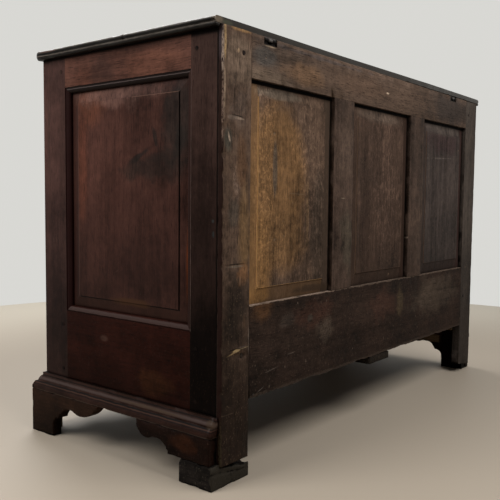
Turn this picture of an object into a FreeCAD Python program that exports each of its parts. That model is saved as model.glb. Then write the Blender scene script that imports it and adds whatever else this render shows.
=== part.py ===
import FreeCAD, Part
import math
import os

# A panelled oak mule chest: a joined box with a hinged lid over a row of two drawers, on bracket feet.
# Millimetres. +Z is up, the front faces -Y and X runs along the width. The origin lies on the floor
# under the middle of the whole chest. Right and left are those of the +X and -X ends.

V = FreeCAD.Vector

# ---------------------------------------------------------------- driving dimensions

# Carcass, measured over the faces of its frames
CARCASS_WIDTH = 1210.0
CARCASS_DEPTH = 526.0
CARCASS_TOP = 835.5
CARCASS_BOTTOM = 100.0          # underside of the bottom rails of the ends and the front

# Thickness of the timber in each frame
BACK_STOCK = 22.0
END_STOCK = 28.0
FRONT_STOCK = 24.0
BACK_LAP = 11.5                 # part of the back stiles that covers the rear edge of an end

# Back frame
BACK_STILE_RIGHT = 79.0
BACK_STILE_LEFT = 83.0
BACK_MUNTIN = 84.0
BACK_TOP_RAIL = 82.5
BACK_SILL_DROP = 2.0            # how far its panel openings start below those of the front
BACK_RAIL_LAP = 8.0             # how far its bottom rail reaches below the drawers

# End frames
END_REAR_STILE = 66.5
POST_DEPTH = 77.0
POST_WIDTH = 74.0
END_TOP_RAIL = 69.5
END_BOTTOM_RAIL = 183.0

# Front frame
FRONT_TOP_RAIL = 80.5
FRONT_MUNTIN = 80.0
FRONT_BOTTOM_RAIL = 57.0
DRAWER_OPENING = 140.0          # height of the drawer openings
MID_RAIL = 35.0
DRAWER_DIVIDER = 80.0

# Legs: the rear stiles run on below the carcass. The left stile of the back ends above the floor.
LEFT_BACK_LEG_GAP = 16.0        # at its outer edge
LEFT_BACK_LEG_SLANT = 12.0      # how much higher its foot is at its inner edge

# Joinery
TENON_THICKNESS = 9.0
TENON_FACE_DEPTH = 10.0         # from the face of a frame to the near cheek of its tenons
TENON_LENGTH = 30.0
TENON_SHOULDER = 10.0           # how far a tenon is narrower than its rail, above and below
PEG_RADIUS = 4.0
PEG_LENGTH = 21.0
PEG_PROUD = 0.6
PEG_INSET = 14.0                # from the shoulder of a joint to its peg
BACK_PEG_INSET = 23.0           # and on the back frame
WIDE_RAIL_PEG_DROP = 32.0       # from the top of a wide rail down to its upper pegs
WIDE_RAIL_PEG_RISE = 52.0       # and from its bottom up to the lower ones

# Panels
PANEL_GROOVE = 9.0              # depth of the grooves that hold the panels
PANEL_PLAY = 1.0                # room left in a groove for the panel to swell
TONGUE_THICKNESS = 6.0
TONGUE_FACE_DEPTH = 11.0        # from the face of a frame to the near side of the tongue
FIELD_FACE_DEPTH = 5.5          # from the face of a frame to the raised field
FIELD_STEP = 1.8
BACK_MARGIN = 30.0
END_MARGIN = 24.0
FRONT_MARGIN = 36.0
OVOLO_WIDTH = 12.0              # on the ends it lies inside the lines of the joints
OVOLO_DEPTH = 8.0
OVOLO_QUIRK = 1.2

# Base
PLINTH_PROUD = 23.0             # how far the base stands out from the carcass
MOULDING_BOTTOM = 97.0
MOULDING_HEIGHT = 36.0
MOULDING_FILLET = 6.0           # how far the square at its top stands out
MOULDING_FILLET_DROP = 6.0      # and how deep it is
MOULDING_OVOLO_FOOT = 13.5      # how far the foot of its ovolo stands out
MOULDING_OVOLO_DROP = 17.5      # and how far it is below the top
MOULDING_OVOLO_BOW = 1.1        # how far the ovolo stands out from a straight bevel, in Y and in Z
MOULDING_LEDGE_DROP = 2.0       # of the ledge between the ovolo and the plain band
MOULDING_BAND_PROUD = 18.5      # the band's upper edge; it swells to the plinth's face
MOULDING_BAND_SWELL = 9.0       # how far down it does so
MOULDING_REAR_GAP = 7.0
BRACKET_FOOT_RISE = 30.0        # up the foot to where its shaped edge starts
BRACKET_CUSP = (23.0, 45.0)     # points of that edge: out from the foot, and up from the floor
BRACKET_ARCH = (50.0, 69.0)
BRACKET_LOBE = (73.0, 66.0)
BRACKET_COVE_BOW = 5.0          # how far its arcs rise above the straight lines between those points
BRACKET_ARCH_BOW = 5.5
BRACKET_CROWN_BOW = 2.0
FOOT_WIDTH = 77.0
FRONT_FACE_FOOT_WIDTH = 66.0    # of the part of a front foot that runs along the front
CORNER_BLOCK = 24.0             # behind the mitre of a front foot
FRONT_BRACKET_REACH = 231.0
REAR_BRACKET_REACH = 193.5
REAR_FOOT_WIDTH = 82.5
REAR_BRACKET_GAP = 9.5          # from the back face
FOOT_BLOCK_HEIGHT = 46.0
FOOT_BLOCK_STEP = 6.0           # how far it is lower where the legs stand on it
FOOT_BLOCK_WIDTH = 110.0
FOOT_BLOCK_CHAMFER = 2.0
FOOT_BLOCK_DEPTH = 83.0
FOOT_BLOCK_REAR_GAP = 3.0
CORNER_BLOCK_GAP = 4.0          # under it
GLUE_BLOCK_THICKNESS = 22.0
GLUE_BLOCK_HEIGHT = 26.0
GLUE_BLOCK_LENGTH = 70.0
GLUE_BLOCK_GAP = 12.0           # from the leg to the glue block beside it

# Lid
LID_THICKNESS = 12.5
LID_GAP = 0.8                   # between the lid's underside and the carcass
LID_END_OVERHANG = 17.0
LID_FRONT_OVERHANG = 9.0
LID_FRONT_BOARD = 290.0
LID_STRIP_DROP = 6.0            # of the strips under its overhanging edges
LID_STRIP_CLEARANCE = 1.2       # between them and the carcass
# The moulded edge from the top down, of the board and of the strip below it: shares of the height
# and of the overhang
LID_EDGE = ((0, 0.66), (0.12, 0.87), (0.30, 0.97), (0.47, 1), (0.65, 0.95), (0.78, 0.80), (0.86, 0.80),
            (0.97, 0.87), (1, 0.87))
STRIP_EDGE = ((0, 0.87), (0.38, 0.87), (0.75, 0.76), (1, 0.60))

# Hinges
HINGE_RIGHT_INSET = 137.0       # from the right end to the middle of its hinge
HINGE_LEFT_INSET = 184.0
HINGE_WIDTH = 36.0
HINGE_PLATE = 2.0
HINGE_AXIS_INSET = 2.6          # from the back face to the pin
HINGE_AXIS_DROP = 5.5           # from the lid's underside to the pin
KNUCKLE_RADIUS = 3.0
PIN_RADIUS = 1.5
PIN_CLEARANCE = 0.05
KNUCKLE_GAP = 0.4
NOTCH_WIDTH = 40.0
NOTCH_DEPTH = 14.0
HINGE_LEAF_DROP = 62.0
HINGE_STRAP_LENGTH = 165.0
HINGE_SCREW_RADIUS = 1.8
HINGE_SCREW_HEAD_RADIUS = 3.6
HINGE_SCREW_HEAD = 0.8
HINGE_SCREW_LENGTH = 10.0
RAIL_ARRIS = 1.2                # worn top arris of the back rail

# Inside the chest
FLOOR_THICKNESS = 14.0
FLOOR_DROP = 10.0               # from the top of the middle rail to the floor inside
FLOOR_BOARD_COUNT = 5
LEDGE = 20.0
BEARER_WIDTH = 66.0
BEARER_THICKNESS = 24.0
CENTRE_BEARER_WIDTH = 100.0
CENTRE_BEARER_THICKNESS = 26.0
GUIDE_HEIGHT = 20.0

# Drawers
DRAWER_PLAY = 1.5               # round the drawer front in its opening
DRAWER_LIFT = 0.3               # between a drawer and its bearers
DRAWER_LIP_GAP = 0.3            # between its lip and the frame
DRAWER_FRONT_THICKNESS = 22.0
DRAWER_LIP_OVERLAP = 7.0
DRAWER_LIP_THICKNESS = 8.0
DRAWER_LIP_ROUND = 5.0
DRAWER_SIDE = 10.0
DRAWER_SIDE_GAP = 4.0           # from its sides to the kickers above them
DRAWER_BACK_DROP = 8.0          # how far its back is lower than its sides
DRAWER_REAR_GAP = 12.0
DRAWER_BOTTOM = 8.0
DRAWER_BOTTOM_RAISE = 8.0
DRAWER_GROOVE = 5.0

# Handles and key plates
HANDLE_SPREAD = 150.0           # from the middle of a drawer to each handle
HANDLE_RAISE = 8.0              # height of the handle pivots above the drawer's mid height
POST_SPACING = 80.0
POST_REACH = 15.0
POST_RADIUS = 3.0
POST_HEAD_RADIUS = 5.2
ROSE_RADIUS = 11.0
ROSE_THICKNESS = 2.0
NUT_SIDE = 10.0
NUT_THICKNESS = 3.0
BAIL_RADIUS = 2.3
BAIL_CLEARANCE = 0.06
BAIL_NECK = 11.0                # from the pivot's post inwards to the swan neck
BAIL_SHOULDER = 9.0
BAIL_BELLY_HEIGHT = 19.0
BAIL_DROP = 31.0
BAIL_GRIP_INSET = 9.0
BAIL_BEND = 4.5
KEY_PLATE_WIDTH = 20.0
KEY_PLATE_HEIGHT = 36.0
KEY_PLATE_THICKNESS = 1.2
KEYHOLE_RADIUS = 3.0
KEYHOLE_SLOT = 3.0
KEYHOLE_DROP = 9.0

# Lid lock
LOCK_WIDTH = 96.0
LOCK_HEIGHT = 66.0
LOCK_THICKNESS = 14.0
LOCK_TOP_GAP = 2.0
KEEPER_WIDTH = 72.0
KEEPER_DEPTH = 22.0
KEEPER_PLATE = 1.5
STAPLE_SPACING = 36.0
STAPLE_WIDTH = 8.0
STAPLE_THICKNESS = 4.0
STAPLE_LENGTH = 13.0
STAPLE_CLEARANCE = 1.5

# ---------------------------------------------------------------- places worked out from them

HALF = CARCASS_WIDTH / 2
DRAWER_SILL = CARCASS_BOTTOM + FRONT_BOTTOM_RAIL               # top of the front's bottom rail
MID_RAIL_BOTTOM = DRAWER_SILL + DRAWER_OPENING
MID_RAIL_TOP = MID_RAIL_BOTTOM + MID_RAIL
END_BOTTOM_RAIL_TOP = CARCASS_BOTTOM + END_BOTTOM_RAIL
BACK_BOTTOM_RAIL_TOP = MID_RAIL_TOP - BACK_SILL_DROP
BACK_BOTTOM_RAIL_BOTTOM = DRAWER_SILL - BACK_RAIL_LAP
DRAWER_FACE_PROUD = DRAWER_LIP_THICKNESS
HANDLE_PROUD = DRAWER_FACE_PROUD + POST_REACH + POST_HEAD_RADIUS
KNUCKLE_PROUD = KNUCKLE_RADIUS - HINGE_AXIS_INSET
FRONT_REACH = max(HANDLE_PROUD, PLINTH_PROUD, LID_FRONT_OVERHANG)
BACK = (CARCASS_DEPTH + FRONT_REACH - KNUCKLE_PROUD) / 2       # Y of the back face
FRONT = BACK - CARCASS_DEPTH                                   # Y of the front frame's face
INNER_BACK = BACK - BACK_STOCK
INNER_FRONT = FRONT + FRONT_STOCK
INNER_END = HALF - END_STOCK
SEAM = BACK_LAP                                                # rear edge of an end, from the back
REAR_STILE_EDGE = SEAM + END_REAR_STILE
POST_EDGE = CARCASS_DEPTH - POST_DEPTH
POST_INNER = HALF - POST_WIDTH
LID_UNDERSIDE = CARCASS_TOP + LID_GAP
LID_TOP = LID_UNDERSIDE + LID_THICKNESS
HINGE_Y = BACK - HINGE_AXIS_INSET
HINGE_Z = LID_UNDERSIDE - HINGE_AXIS_DROP
HINGE_PLACES = (HALF - HINGE_RIGHT_INSET, HINGE_LEFT_INSET - HALF)
NOTCH_FLOOR = CARCASS_TOP - NOTCH_DEPTH
MOULDING_TOP = MOULDING_BOTTOM + MOULDING_HEIGHT
LEG_ON_BLOCK = FOOT_BLOCK_HEIGHT - FOOT_BLOCK_STEP
DRAWER_INNER_X = DRAWER_DIVIDER / 2 + DRAWER_PLAY
DRAWER_OUTER_X = POST_INNER - DRAWER_PLAY
DRAWER_MIDDLE = (DRAWER_INNER_X + DRAWER_OUTER_X) / 2
DRAWER_FACE = FRONT - DRAWER_LIP_THICKNESS
DRAWER_FRONT_INNER = DRAWER_FACE + DRAWER_FRONT_THICKNESS
DRAWER_REAR = INNER_BACK - DRAWER_REAR_GAP
DRAWER_LOW = DRAWER_SILL + DRAWER_LIFT
DRAWER_SIDE_TOP = MID_RAIL_BOTTOM - DRAWER_SIDE_GAP
HANDLE_Z = (DRAWER_SILL + MID_RAIL_BOTTOM) / 2 + HANDLE_RAISE
HANDLE_Y = DRAWER_FACE - POST_REACH
FLOOR_TOP = MID_RAIL_TOP - FLOOR_DROP
LEDGE_TOP = FLOOR_TOP - FLOOR_THICKNESS


# ---------------------------------------------------------------- helpers

def block(x0, x1, y0, y1, z0, z1):
    return Part.makeBox(x1 - x0, y1 - y0, z1 - z0, V(x0, y0, z0))


def slab(u0, u1, depth0, depth1, z0, z1):
    """A block of a frame that lies flat: u along it, depth inwards from its face."""
    return block(u0, u1, -depth1, -depth0, z0, z1)


def polygon(points):
    return Part.makePolygon(points + [points[0]])


def prism(points, run):
    """The flat outline through the points, drawn out along the vector run."""
    return Part.Face(polygon(points)).extrude(run)


def outline_face(edges):
    return Part.Face(Part.Wire(edges))


def line(a, b):
    return Part.makeLine(a, b)


def arc(a, middle, b):
    return Part.Arc(a, middle, b).toShape()


def bowed(a, b, rise):
    """An arc from a to b that rises above the line between them, in an upright plane."""
    run = b - a
    upwards = V(-run.z, 0, run.x).normalize()
    return arc(a, (a + b) / 2 + upwards * rise, b)


def joined(shapes):
    first = shapes[0]
    return first.fuse(shapes[1:]).removeSplitter() if len(shapes) > 1 else first


def less(shape, hollows):
    """The shape with every hollow that reaches it cut away."""
    near = [hollow for hollow in hollows if hollow.BoundBox.intersect(shape.BoundBox)]
    return shape.cut(near).removeSplitter() if near else shape


def turned(shape, angle, x, y):
    """The shape turned about the upright axis, then carried to x, y."""
    moved = shape.copy()
    moved.rotate(V(0, 0, 0), V(0, 0, 1), angle)
    moved.translate(V(x, y, 0))
    return moved


def on_back(shape):
    return turned(shape, 0, 0, BACK)


def on_front(shape):
    return turned(shape, 180, 0, FRONT)


def on_right_end(shape):
    """u is then the distance from the back face towards the front."""
    return turned(shape, -90, HALF, BACK)


def mirrored(shape):
    return shape.mirror(V(0, 0, 0), V(1, 0, 0))


def solids(shapes):
    """Separate solids kept together in one node."""
    return Part.makeCompound([solid for shape in shapes for solid in shape.Solids])


# ---------------------------------------------------------------- joinery shared by the frames

def rail_tenons(u0, u1, z0, z1):
    """The two tenons on the ends of a rail."""
    near = TENON_FACE_DEPTH
    far = TENON_FACE_DEPTH + TENON_THICKNESS
    low = z0 + TENON_SHOULDER
    high = z1 - TENON_SHOULDER
    return [slab(u0 - TENON_LENGTH, u0, near, far, low, high),
            slab(u1, u1 + TENON_LENGTH, near, far, low, high)]


def muntin_tenons(u0, u1, z0, z1, length=TENON_LENGTH):
    """The tenons on the top and the foot of a muntin."""
    near = TENON_FACE_DEPTH
    far = TENON_FACE_DEPTH + TENON_THICKNESS
    left = u0 + TENON_SHOULDER
    right = u1 - TENON_SHOULDER
    return [slab(left, right, near, far, z0 - length, z0),
            slab(left, right, near, far, z1, z1 + length)]


def groove(opening):
    """The ring of groove round a panel opening, as one flat block."""
    u0, u1, z0, z1 = opening
    near = TONGUE_FACE_DEPTH
    far = TONGUE_FACE_DEPTH + TONGUE_THICKNESS
    return slab(u0 - PANEL_GROOVE, u1 + PANEL_GROOVE, near, far, z0 - PANEL_GROOVE, z1 + PANEL_GROOVE)


def rectangle_at(opening, margin, depth):
    """A rectangle that lies inside an opening by the margin, at a depth below the face."""
    u0, u1, z0, z1 = opening
    return polygon([V(u0 + margin, -depth, z0 + margin), V(u1 - margin, -depth, z0 + margin),
                    V(u1 - margin, -depth, z1 - margin), V(u0 + margin, -depth, z1 - margin)])


def ovolo_plug(opening):
    """What the ovolo moulding round an opening takes out of the frame, mitred at the corners."""
    steps = 4
    u0, u1, z0, z1 = opening
    quirk = slab(u0 - OVOLO_WIDTH, u1 + OVOLO_WIDTH, -OVOLO_QUIRK, OVOLO_QUIRK,
                 z0 - OVOLO_WIDTH, z1 + OVOLO_WIDTH)
    rings = []
    for step in range(steps + 1):
        angle = math.pi / 2 * step / steps
        width = (OVOLO_WIDTH - OVOLO_QUIRK) * (1 - math.sin(angle))
        depth = OVOLO_DEPTH - (OVOLO_DEPTH - OVOLO_QUIRK) * math.cos(angle)
        rings.append(rectangle_at(opening, -width, depth))
    return joined([quirk, Part.makeLoft(rings, True, True)])


def fielded_panel(opening, margin):
    """A raised and fielded panel with a tongue all round, sized to its grooves."""
    u0, u1, z0, z1 = opening
    reach = PANEL_GROOVE - PANEL_PLAY
    back = TONGUE_FACE_DEPTH + TONGUE_THICKNESS
    tongue = slab(u0 - reach, u1 + reach, TONGUE_FACE_DEPTH, back, z0 - reach, z1 + reach)
    bevel = Part.makeLoft([rectangle_at(opening, 0, TONGUE_FACE_DEPTH),
                           rectangle_at(opening, margin, FIELD_FACE_DEPTH + FIELD_STEP)], True, True)
    field = slab(u0 + margin, u1 - margin, FIELD_FACE_DEPTH, TONGUE_FACE_DEPTH, z0 + margin, z1 - margin)
    return joined([tongue, bevel, field])


def peg(u, z):
    return Part.makeCylinder(PEG_RADIUS, PEG_LENGTH, V(u, PEG_PROUD, z), V(0, -1, 0))


# ---------------------------------------------------------------- layout of the three frames

END_JOINTS = (REAR_STILE_EDGE, POST_EDGE, END_BOTTOM_RAIL_TOP, CARCASS_TOP - END_TOP_RAIL)
END_OPENING = (REAR_STILE_EDGE + OVOLO_WIDTH, POST_EDGE - OVOLO_WIDTH,
               END_BOTTOM_RAIL_TOP + OVOLO_WIDTH, CARCASS_TOP - END_TOP_RAIL - OVOLO_WIDTH)
END_TOP = (REAR_STILE_EDGE, POST_EDGE, CARCASS_TOP - END_TOP_RAIL, CARCASS_TOP)
END_BOTTOM = (REAR_STILE_EDGE, POST_EDGE, CARCASS_BOTTOM, END_BOTTOM_RAIL_TOP)

BACK_RIGHT = HALF - BACK_STILE_RIGHT
BACK_LEFT = BACK_STILE_LEFT - HALF
BACK_TOP = (BACK_LEFT, BACK_RIGHT, CARCASS_TOP - BACK_TOP_RAIL, CARCASS_TOP)
BACK_BOTTOM = (BACK_LEFT, BACK_RIGHT, BACK_BOTTOM_RAIL_BOTTOM, BACK_BOTTOM_RAIL_TOP)

FRONT_TOP = (-POST_INNER, POST_INNER, CARCASS_TOP - FRONT_TOP_RAIL, CARCASS_TOP)
FRONT_MID = (-POST_INNER, POST_INNER, MID_RAIL_BOTTOM, MID_RAIL_TOP)
FRONT_BOTTOM = (-POST_INNER, POST_INNER, CARCASS_BOTTOM, DRAWER_SILL)


def three_openings(left, right, muntin, low, high):
    """Three equal panel openings between two stiles and two muntins, and the muntins' places."""
    width = (right - left - 2 * muntin) / 3
    starts = [left + index * (width + muntin) for index in range(3)]
    openings = [(start, start + width, low, high) for start in starts]
    muntins = [(start + width, start + width + muntin, low, high) for start in starts[:2]]
    return openings, muntins


BACK_OPENINGS, BACK_MUNTINS = three_openings(BACK_LEFT, BACK_RIGHT, BACK_MUNTIN, BACK_BOTTOM_RAIL_TOP,
                                             CARCASS_TOP - BACK_TOP_RAIL)
FRONT_OPENINGS, FRONT_MUNTINS = three_openings(-POST_INNER, POST_INNER, FRONT_MUNTIN, MID_RAIL_TOP,
                                               CARCASS_TOP - FRONT_TOP_RAIL)
DIVIDER = (-DRAWER_DIVIDER / 2, DRAWER_DIVIDER / 2, DRAWER_SILL, MID_RAIL_BOTTOM)
DIVIDER_TENON = (MID_RAIL_TOP - MID_RAIL_BOTTOM) / 2


def end_pegs():
    """Pegs through the joints of the right end, on its own face."""
    top = (END_TOP[2] + END_TOP[3]) / 2
    heights = (top, END_BOTTOM[3] - WIDE_RAIL_PEG_DROP, END_BOTTOM[2] + WIDE_RAIL_PEG_RISE)
    u0, u1 = END_TOP[:2]
    return [on_right_end(peg(u, z)) for z in heights for u in (u0 - PEG_INSET, u1 + PEG_INSET)]


def back_pegs():
    found = []
    for u0, u1, z0, z1 in (BACK_TOP, BACK_BOTTOM):
        middle = (z0 + z1) / 2
        found += [peg(u0 - BACK_PEG_INSET, middle), peg(u1 + BACK_PEG_INSET, middle)]
    return [on_back(one) for one in found]


def front_pegs():
    found = []
    for u0, u1, z0, z1 in (FRONT_TOP, FRONT_MID):
        middle = (z0 + z1) / 2
        found += [peg(u0 - PEG_INSET, middle), peg(u1 + PEG_INSET, middle)]
    for u0, u1, z0, z1 in FRONT_MUNTINS:
        middle = (u0 + u1) / 2
        found += [peg(middle, z0 - PEG_INSET), peg(middle, z1 + PEG_INSET)]
    return [on_front(one) for one in found]


# ---------------------------------------------------------------- the ends

def end_sticking():
    """The moulded edges of the end's four members, inside the lines of their joints and mitred there.

    They are those of the rear stile, the front post, the bottom rail and the top rail.
    """
    u0, u1, z0, z1 = END_JOINTS
    s0, s1, y0, y1 = END_OPENING
    outer = [V(u0, 0, z0), V(u1, 0, z0), V(u1, 0, z1), V(u0, 0, z1)]
    inner = [V(s0, 0, y0), V(s1, 0, y0), V(s1, 0, y1), V(s0, 0, y1)]
    bottom, post, top, stile = [prism([outer[k], outer[k - 3], inner[k - 3], inner[k]], V(0, -END_STOCK, 0))
                                for k in range(4)]
    return stile, post, bottom, top


def end_rail(place, sticking):
    """A rail of the right end with its tenons, grooved and moulded for the panel."""
    u0, u1, z0, z1 = place
    whole = joined([slab(u0, u1, 0, END_STOCK, z0, z1), sticking] + rail_tenons(*place))
    return on_right_end(less(whole, [groove(END_OPENING), ovolo_plug(END_OPENING)]))


def end_top_rail():
    return end_rail(END_TOP, end_sticking()[3])


def end_bottom_rail():
    return end_rail(END_BOTTOM, end_sticking()[2])


def end_mortises():
    cuts = rail_tenons(*END_TOP) + rail_tenons(*END_BOTTOM)
    return [on_right_end(cut) for cut in cuts + [groove(END_OPENING), ovolo_plug(END_OPENING)]]


def front_mortises():
    cuts = rail_tenons(*FRONT_TOP) + rail_tenons(*FRONT_MID) + rail_tenons(*FRONT_BOTTOM)
    for opening in FRONT_OPENINGS:
        cuts += [groove(opening), ovolo_plug(opening)]
    return [on_front(cut) for cut in cuts]


def front_post():
    """The front corner post of the right end, which is also the stile of the front."""
    post = block(POST_INNER, HALF, FRONT, FRONT + POST_DEPTH, CARCASS_BOTTOM, CARCASS_TOP)
    return less(joined([post, on_right_end(end_sticking()[1])]), end_mortises() + front_mortises())


def rear_stile(leg_gap):
    stile = joined([slab(SEAM, REAR_STILE_EDGE, 0, END_STOCK, leg_gap, CARCASS_TOP), end_sticking()[0]])
    return less(on_right_end(stile), end_mortises())


def end_panel():
    return on_right_end(fielded_panel(END_OPENING, END_MARGIN))


# ---------------------------------------------------------------- the back

def back_stile(u0, u1, leg_gap):
    """A stile of the back, rebated to lap over the rear edge of the end."""
    stile = slab(u0, u1, 0, BACK_STOCK, leg_gap, CARCASS_TOP)
    rebates = [slab(INNER_END, HALF, BACK_LAP, BACK_STOCK, leg_gap, CARCASS_TOP),
               slab(-HALF, -INNER_END, BACK_LAP, BACK_STOCK, leg_gap, CARCASS_TOP)]
    cuts = rail_tenons(*BACK_TOP) + rail_tenons(*BACK_BOTTOM) + [groove(one) for one in BACK_OPENINGS]
    return on_back(less(stile, rebates + cuts))


def back_stile_left():
    """The left stile of the back: its foot is cut off at a slant above the floor."""
    high = LEFT_BACK_LEG_GAP + LEFT_BACK_LEG_SLANT
    slant = prism([V(-HALF, 0, 0), V(-HALF, 0, LEFT_BACK_LEG_GAP), V(BACK_LEFT, 0, high), V(BACK_LEFT, 0, 0)],
                  V(0, BACK_STOCK, 0))
    slant.translate(V(0, INNER_BACK, 0))
    return back_stile(-HALF, BACK_LEFT, LEFT_BACK_LEG_GAP).cut(slant)


def back_rail(place):
    """A rail of the back with its tenons, mortised for the muntins and grooved for the panels."""
    u0, u1, z0, z1 = place
    whole = joined([slab(u0, u1, 0, BACK_STOCK, z0, z1)] + rail_tenons(*place))
    cuts = [groove(opening) for opening in BACK_OPENINGS]
    for muntin in BACK_MUNTINS:
        cuts += muntin_tenons(*muntin)
    return on_back(less(whole, cuts))


def back_top_rail():
    """The top rail of the back, notched for the hinges, with its top arris worn off."""
    rail = back_rail(BACK_TOP)
    notches = [block(x - NOTCH_WIDTH / 2, x + NOTCH_WIDTH / 2, INNER_BACK - 1, BACK + 1,
                     NOTCH_FLOOR, CARCASS_TOP + 1) for x in HINGE_PLACES]
    arris = prism([V(BACK_LEFT, BACK + 1, CARCASS_TOP - RAIL_ARRIS - 1),
                   V(BACK_LEFT, BACK + 1, CARCASS_TOP + 1),
                   V(BACK_LEFT, BACK - RAIL_ARRIS - 1, CARCASS_TOP + 1)], V(BACK_RIGHT - BACK_LEFT, 0, 0))
    return less(rail, notches + [arris])


def back_muntin(place):
    u0, u1, z0, z1 = place
    whole = joined([slab(u0, u1, 0, BACK_STOCK, z0, z1)] + muntin_tenons(*place))
    return on_back(less(whole, [groove(opening) for opening in BACK_OPENINGS]))


def back_panel(opening):
    return on_back(fielded_panel(opening, BACK_MARGIN))


# ---------------------------------------------------------------- the front

def front_rail(place, feet):
    """A rail of the front with its tenons, mortised for the upright pieces that meet it."""
    u0, u1, z0, z1 = place
    whole = joined([slab(u0, u1, 0, FRONT_STOCK, z0, z1)] + rail_tenons(*place))
    cuts = list(feet)
    for opening in FRONT_OPENINGS:
        cuts += [groove(opening), ovolo_plug(opening)]
    return on_front(less(whole, cuts))


def front_muntin_feet():
    return [tenon for place in FRONT_MUNTINS for tenon in muntin_tenons(*place, length=DIVIDER_TENON)]


def divider_feet():
    return muntin_tenons(*DIVIDER, length=DIVIDER_TENON)


def front_muntin(place):
    u0, u1, z0, z1 = place
    tenons = muntin_tenons(*place, length=DIVIDER_TENON)
    whole = joined([slab(u0, u1, 0, FRONT_STOCK, z0, z1)] + tenons)
    cuts = []
    for opening in FRONT_OPENINGS:
        cuts += [groove(opening), ovolo_plug(opening)]
    return on_front(less(whole, cuts))


def drawer_divider():
    u0, u1, z0, z1 = DIVIDER
    return on_front(joined([slab(u0, u1, 0, FRONT_STOCK, z0, z1)] + divider_feet()))


def front_panel(opening):
    return on_front(fielded_panel(opening, FRONT_MARGIN))


def keyhole(x, y0, y1, z):
    """A keyhole that runs from y0 to y1."""
    hole = Part.makeCylinder(KEYHOLE_RADIUS, y1 - y0, V(x, y0, z), V(0, 1, 0))
    return joined([hole, block(x - KEYHOLE_SLOT / 2, x + KEYHOLE_SLOT / 2, y0, y1, z - KEYHOLE_DROP, z)])


LOCK_LOW = CARCASS_TOP - LOCK_TOP_GAP - LOCK_HEIGHT
LOCK_KEY_Z = LOCK_LOW + LOCK_HEIGHT / 2


def front_top_rail():
    rail = front_rail(FRONT_TOP, front_muntin_feet())
    return less(rail, [keyhole(0, FRONT - 1, INNER_FRONT + 1, LOCK_KEY_Z)])


# ---------------------------------------------------------------- inside

def floor_boards():
    """Boards laid side by side across the chest, notched round the front posts."""
    width = 2 * INNER_END / FLOOR_BOARD_COUNT
    post = block(POST_INNER, HALF, FRONT, FRONT + POST_DEPTH, 0, CARCASS_TOP)
    boards = []
    for index in range(FLOOR_BOARD_COUNT):
        left = -INNER_END + index * width
        board = block(left, left + width, INNER_FRONT, INNER_BACK, LEDGE_TOP, FLOOR_TOP)
        boards.append(less(board, [post, mirrored(post)]))
    return solids(boards)


def floor_ledges():
    """The strips under the floor: at the ends and in the middle they also keep the drawers level."""
    low = MID_RAIL_BOTTOM
    half = CENTRE_BEARER_WIDTH / 2
    post = block(POST_INNER, HALF, FRONT, FRONT + POST_DEPTH, 0, CARCASS_TOP)
    right = block(INNER_END - BEARER_WIDTH, INNER_END, INNER_FRONT, INNER_BACK, low, LEDGE_TOP)
    right = less(right, [post])
    middle = block(-half, half, INNER_FRONT, INNER_BACK, low, LEDGE_TOP)
    rear = block(half, INNER_END - BEARER_WIDTH, INNER_BACK - LEDGE, INNER_BACK, low, LEDGE_TOP)
    front = block(half, INNER_END - BEARER_WIDTH, INNER_FRONT, INNER_FRONT + LEDGE, low, LEDGE_TOP)
    return solids([right, mirrored(right), middle, rear, mirrored(rear), front, mirrored(front)])


def side_bearers():
    """The bearer under the outer side of each drawer, and the guide strip on it."""
    low = DRAWER_SILL - BEARER_THICKNESS
    bearer = block(INNER_END - BEARER_WIDTH, INNER_END, INNER_FRONT, INNER_BACK, low, DRAWER_SILL)
    post = block(POST_INNER, HALF, FRONT, FRONT + POST_DEPTH, 0, CARCASS_TOP)
    bearer = less(bearer, [post])
    guide = block(POST_INNER, INNER_END, FRONT + POST_DEPTH, INNER_BACK, DRAWER_SILL,
                  DRAWER_SILL + GUIDE_HEIGHT)
    return solids([bearer, guide, mirrored(bearer), mirrored(guide)])


def centre_bearer():
    """The bearer between the drawers, whose rear end passes under the back's bottom rail."""
    half = CENTRE_BEARER_WIDTH / 2
    low = DRAWER_SILL - CENTRE_BEARER_THICKNESS
    bearer = block(-half, half, INNER_FRONT, BACK, low, DRAWER_SILL)
    step = block(-half, half, INNER_BACK, BACK, BACK_BOTTOM_RAIL_BOTTOM, DRAWER_SILL)
    guide = block(-DRAWER_DIVIDER / 2, DRAWER_DIVIDER / 2, INNER_FRONT, INNER_BACK, DRAWER_SILL,
                  DRAWER_SILL + GUIDE_HEIGHT)
    return solids([less(bearer, [step]), guide])


# ---------------------------------------------------------------- the base

def profile_bar(face_edges, u0, u1):
    """A moulding: its profile, drawn at u = 0 in outward Y and Z, run from u0 to u1."""
    bar = outline_face(face_edges).extrude(V(u1 - u0, 0, 0))
    bar.translate(V(u0, 0, 0))
    return bar


def mitred(bar, u0, u1, reach, mitre_low, mitre_high):
    """The bar between u0 and u1, its ends cut square or mitred outwards at 45 degrees."""
    box = bar.BoundBox
    low = u0 - reach if mitre_low else u0
    high = u1 + reach if mitre_high else u1
    z0 = box.ZMin - 1
    plan = [V(u0, 0, z0), V(u1, 0, z0), V(high, reach, z0), V(low, reach, z0)]
    return bar.common(prism(plan, V(0, 0, box.ZLength + 2)))


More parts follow.
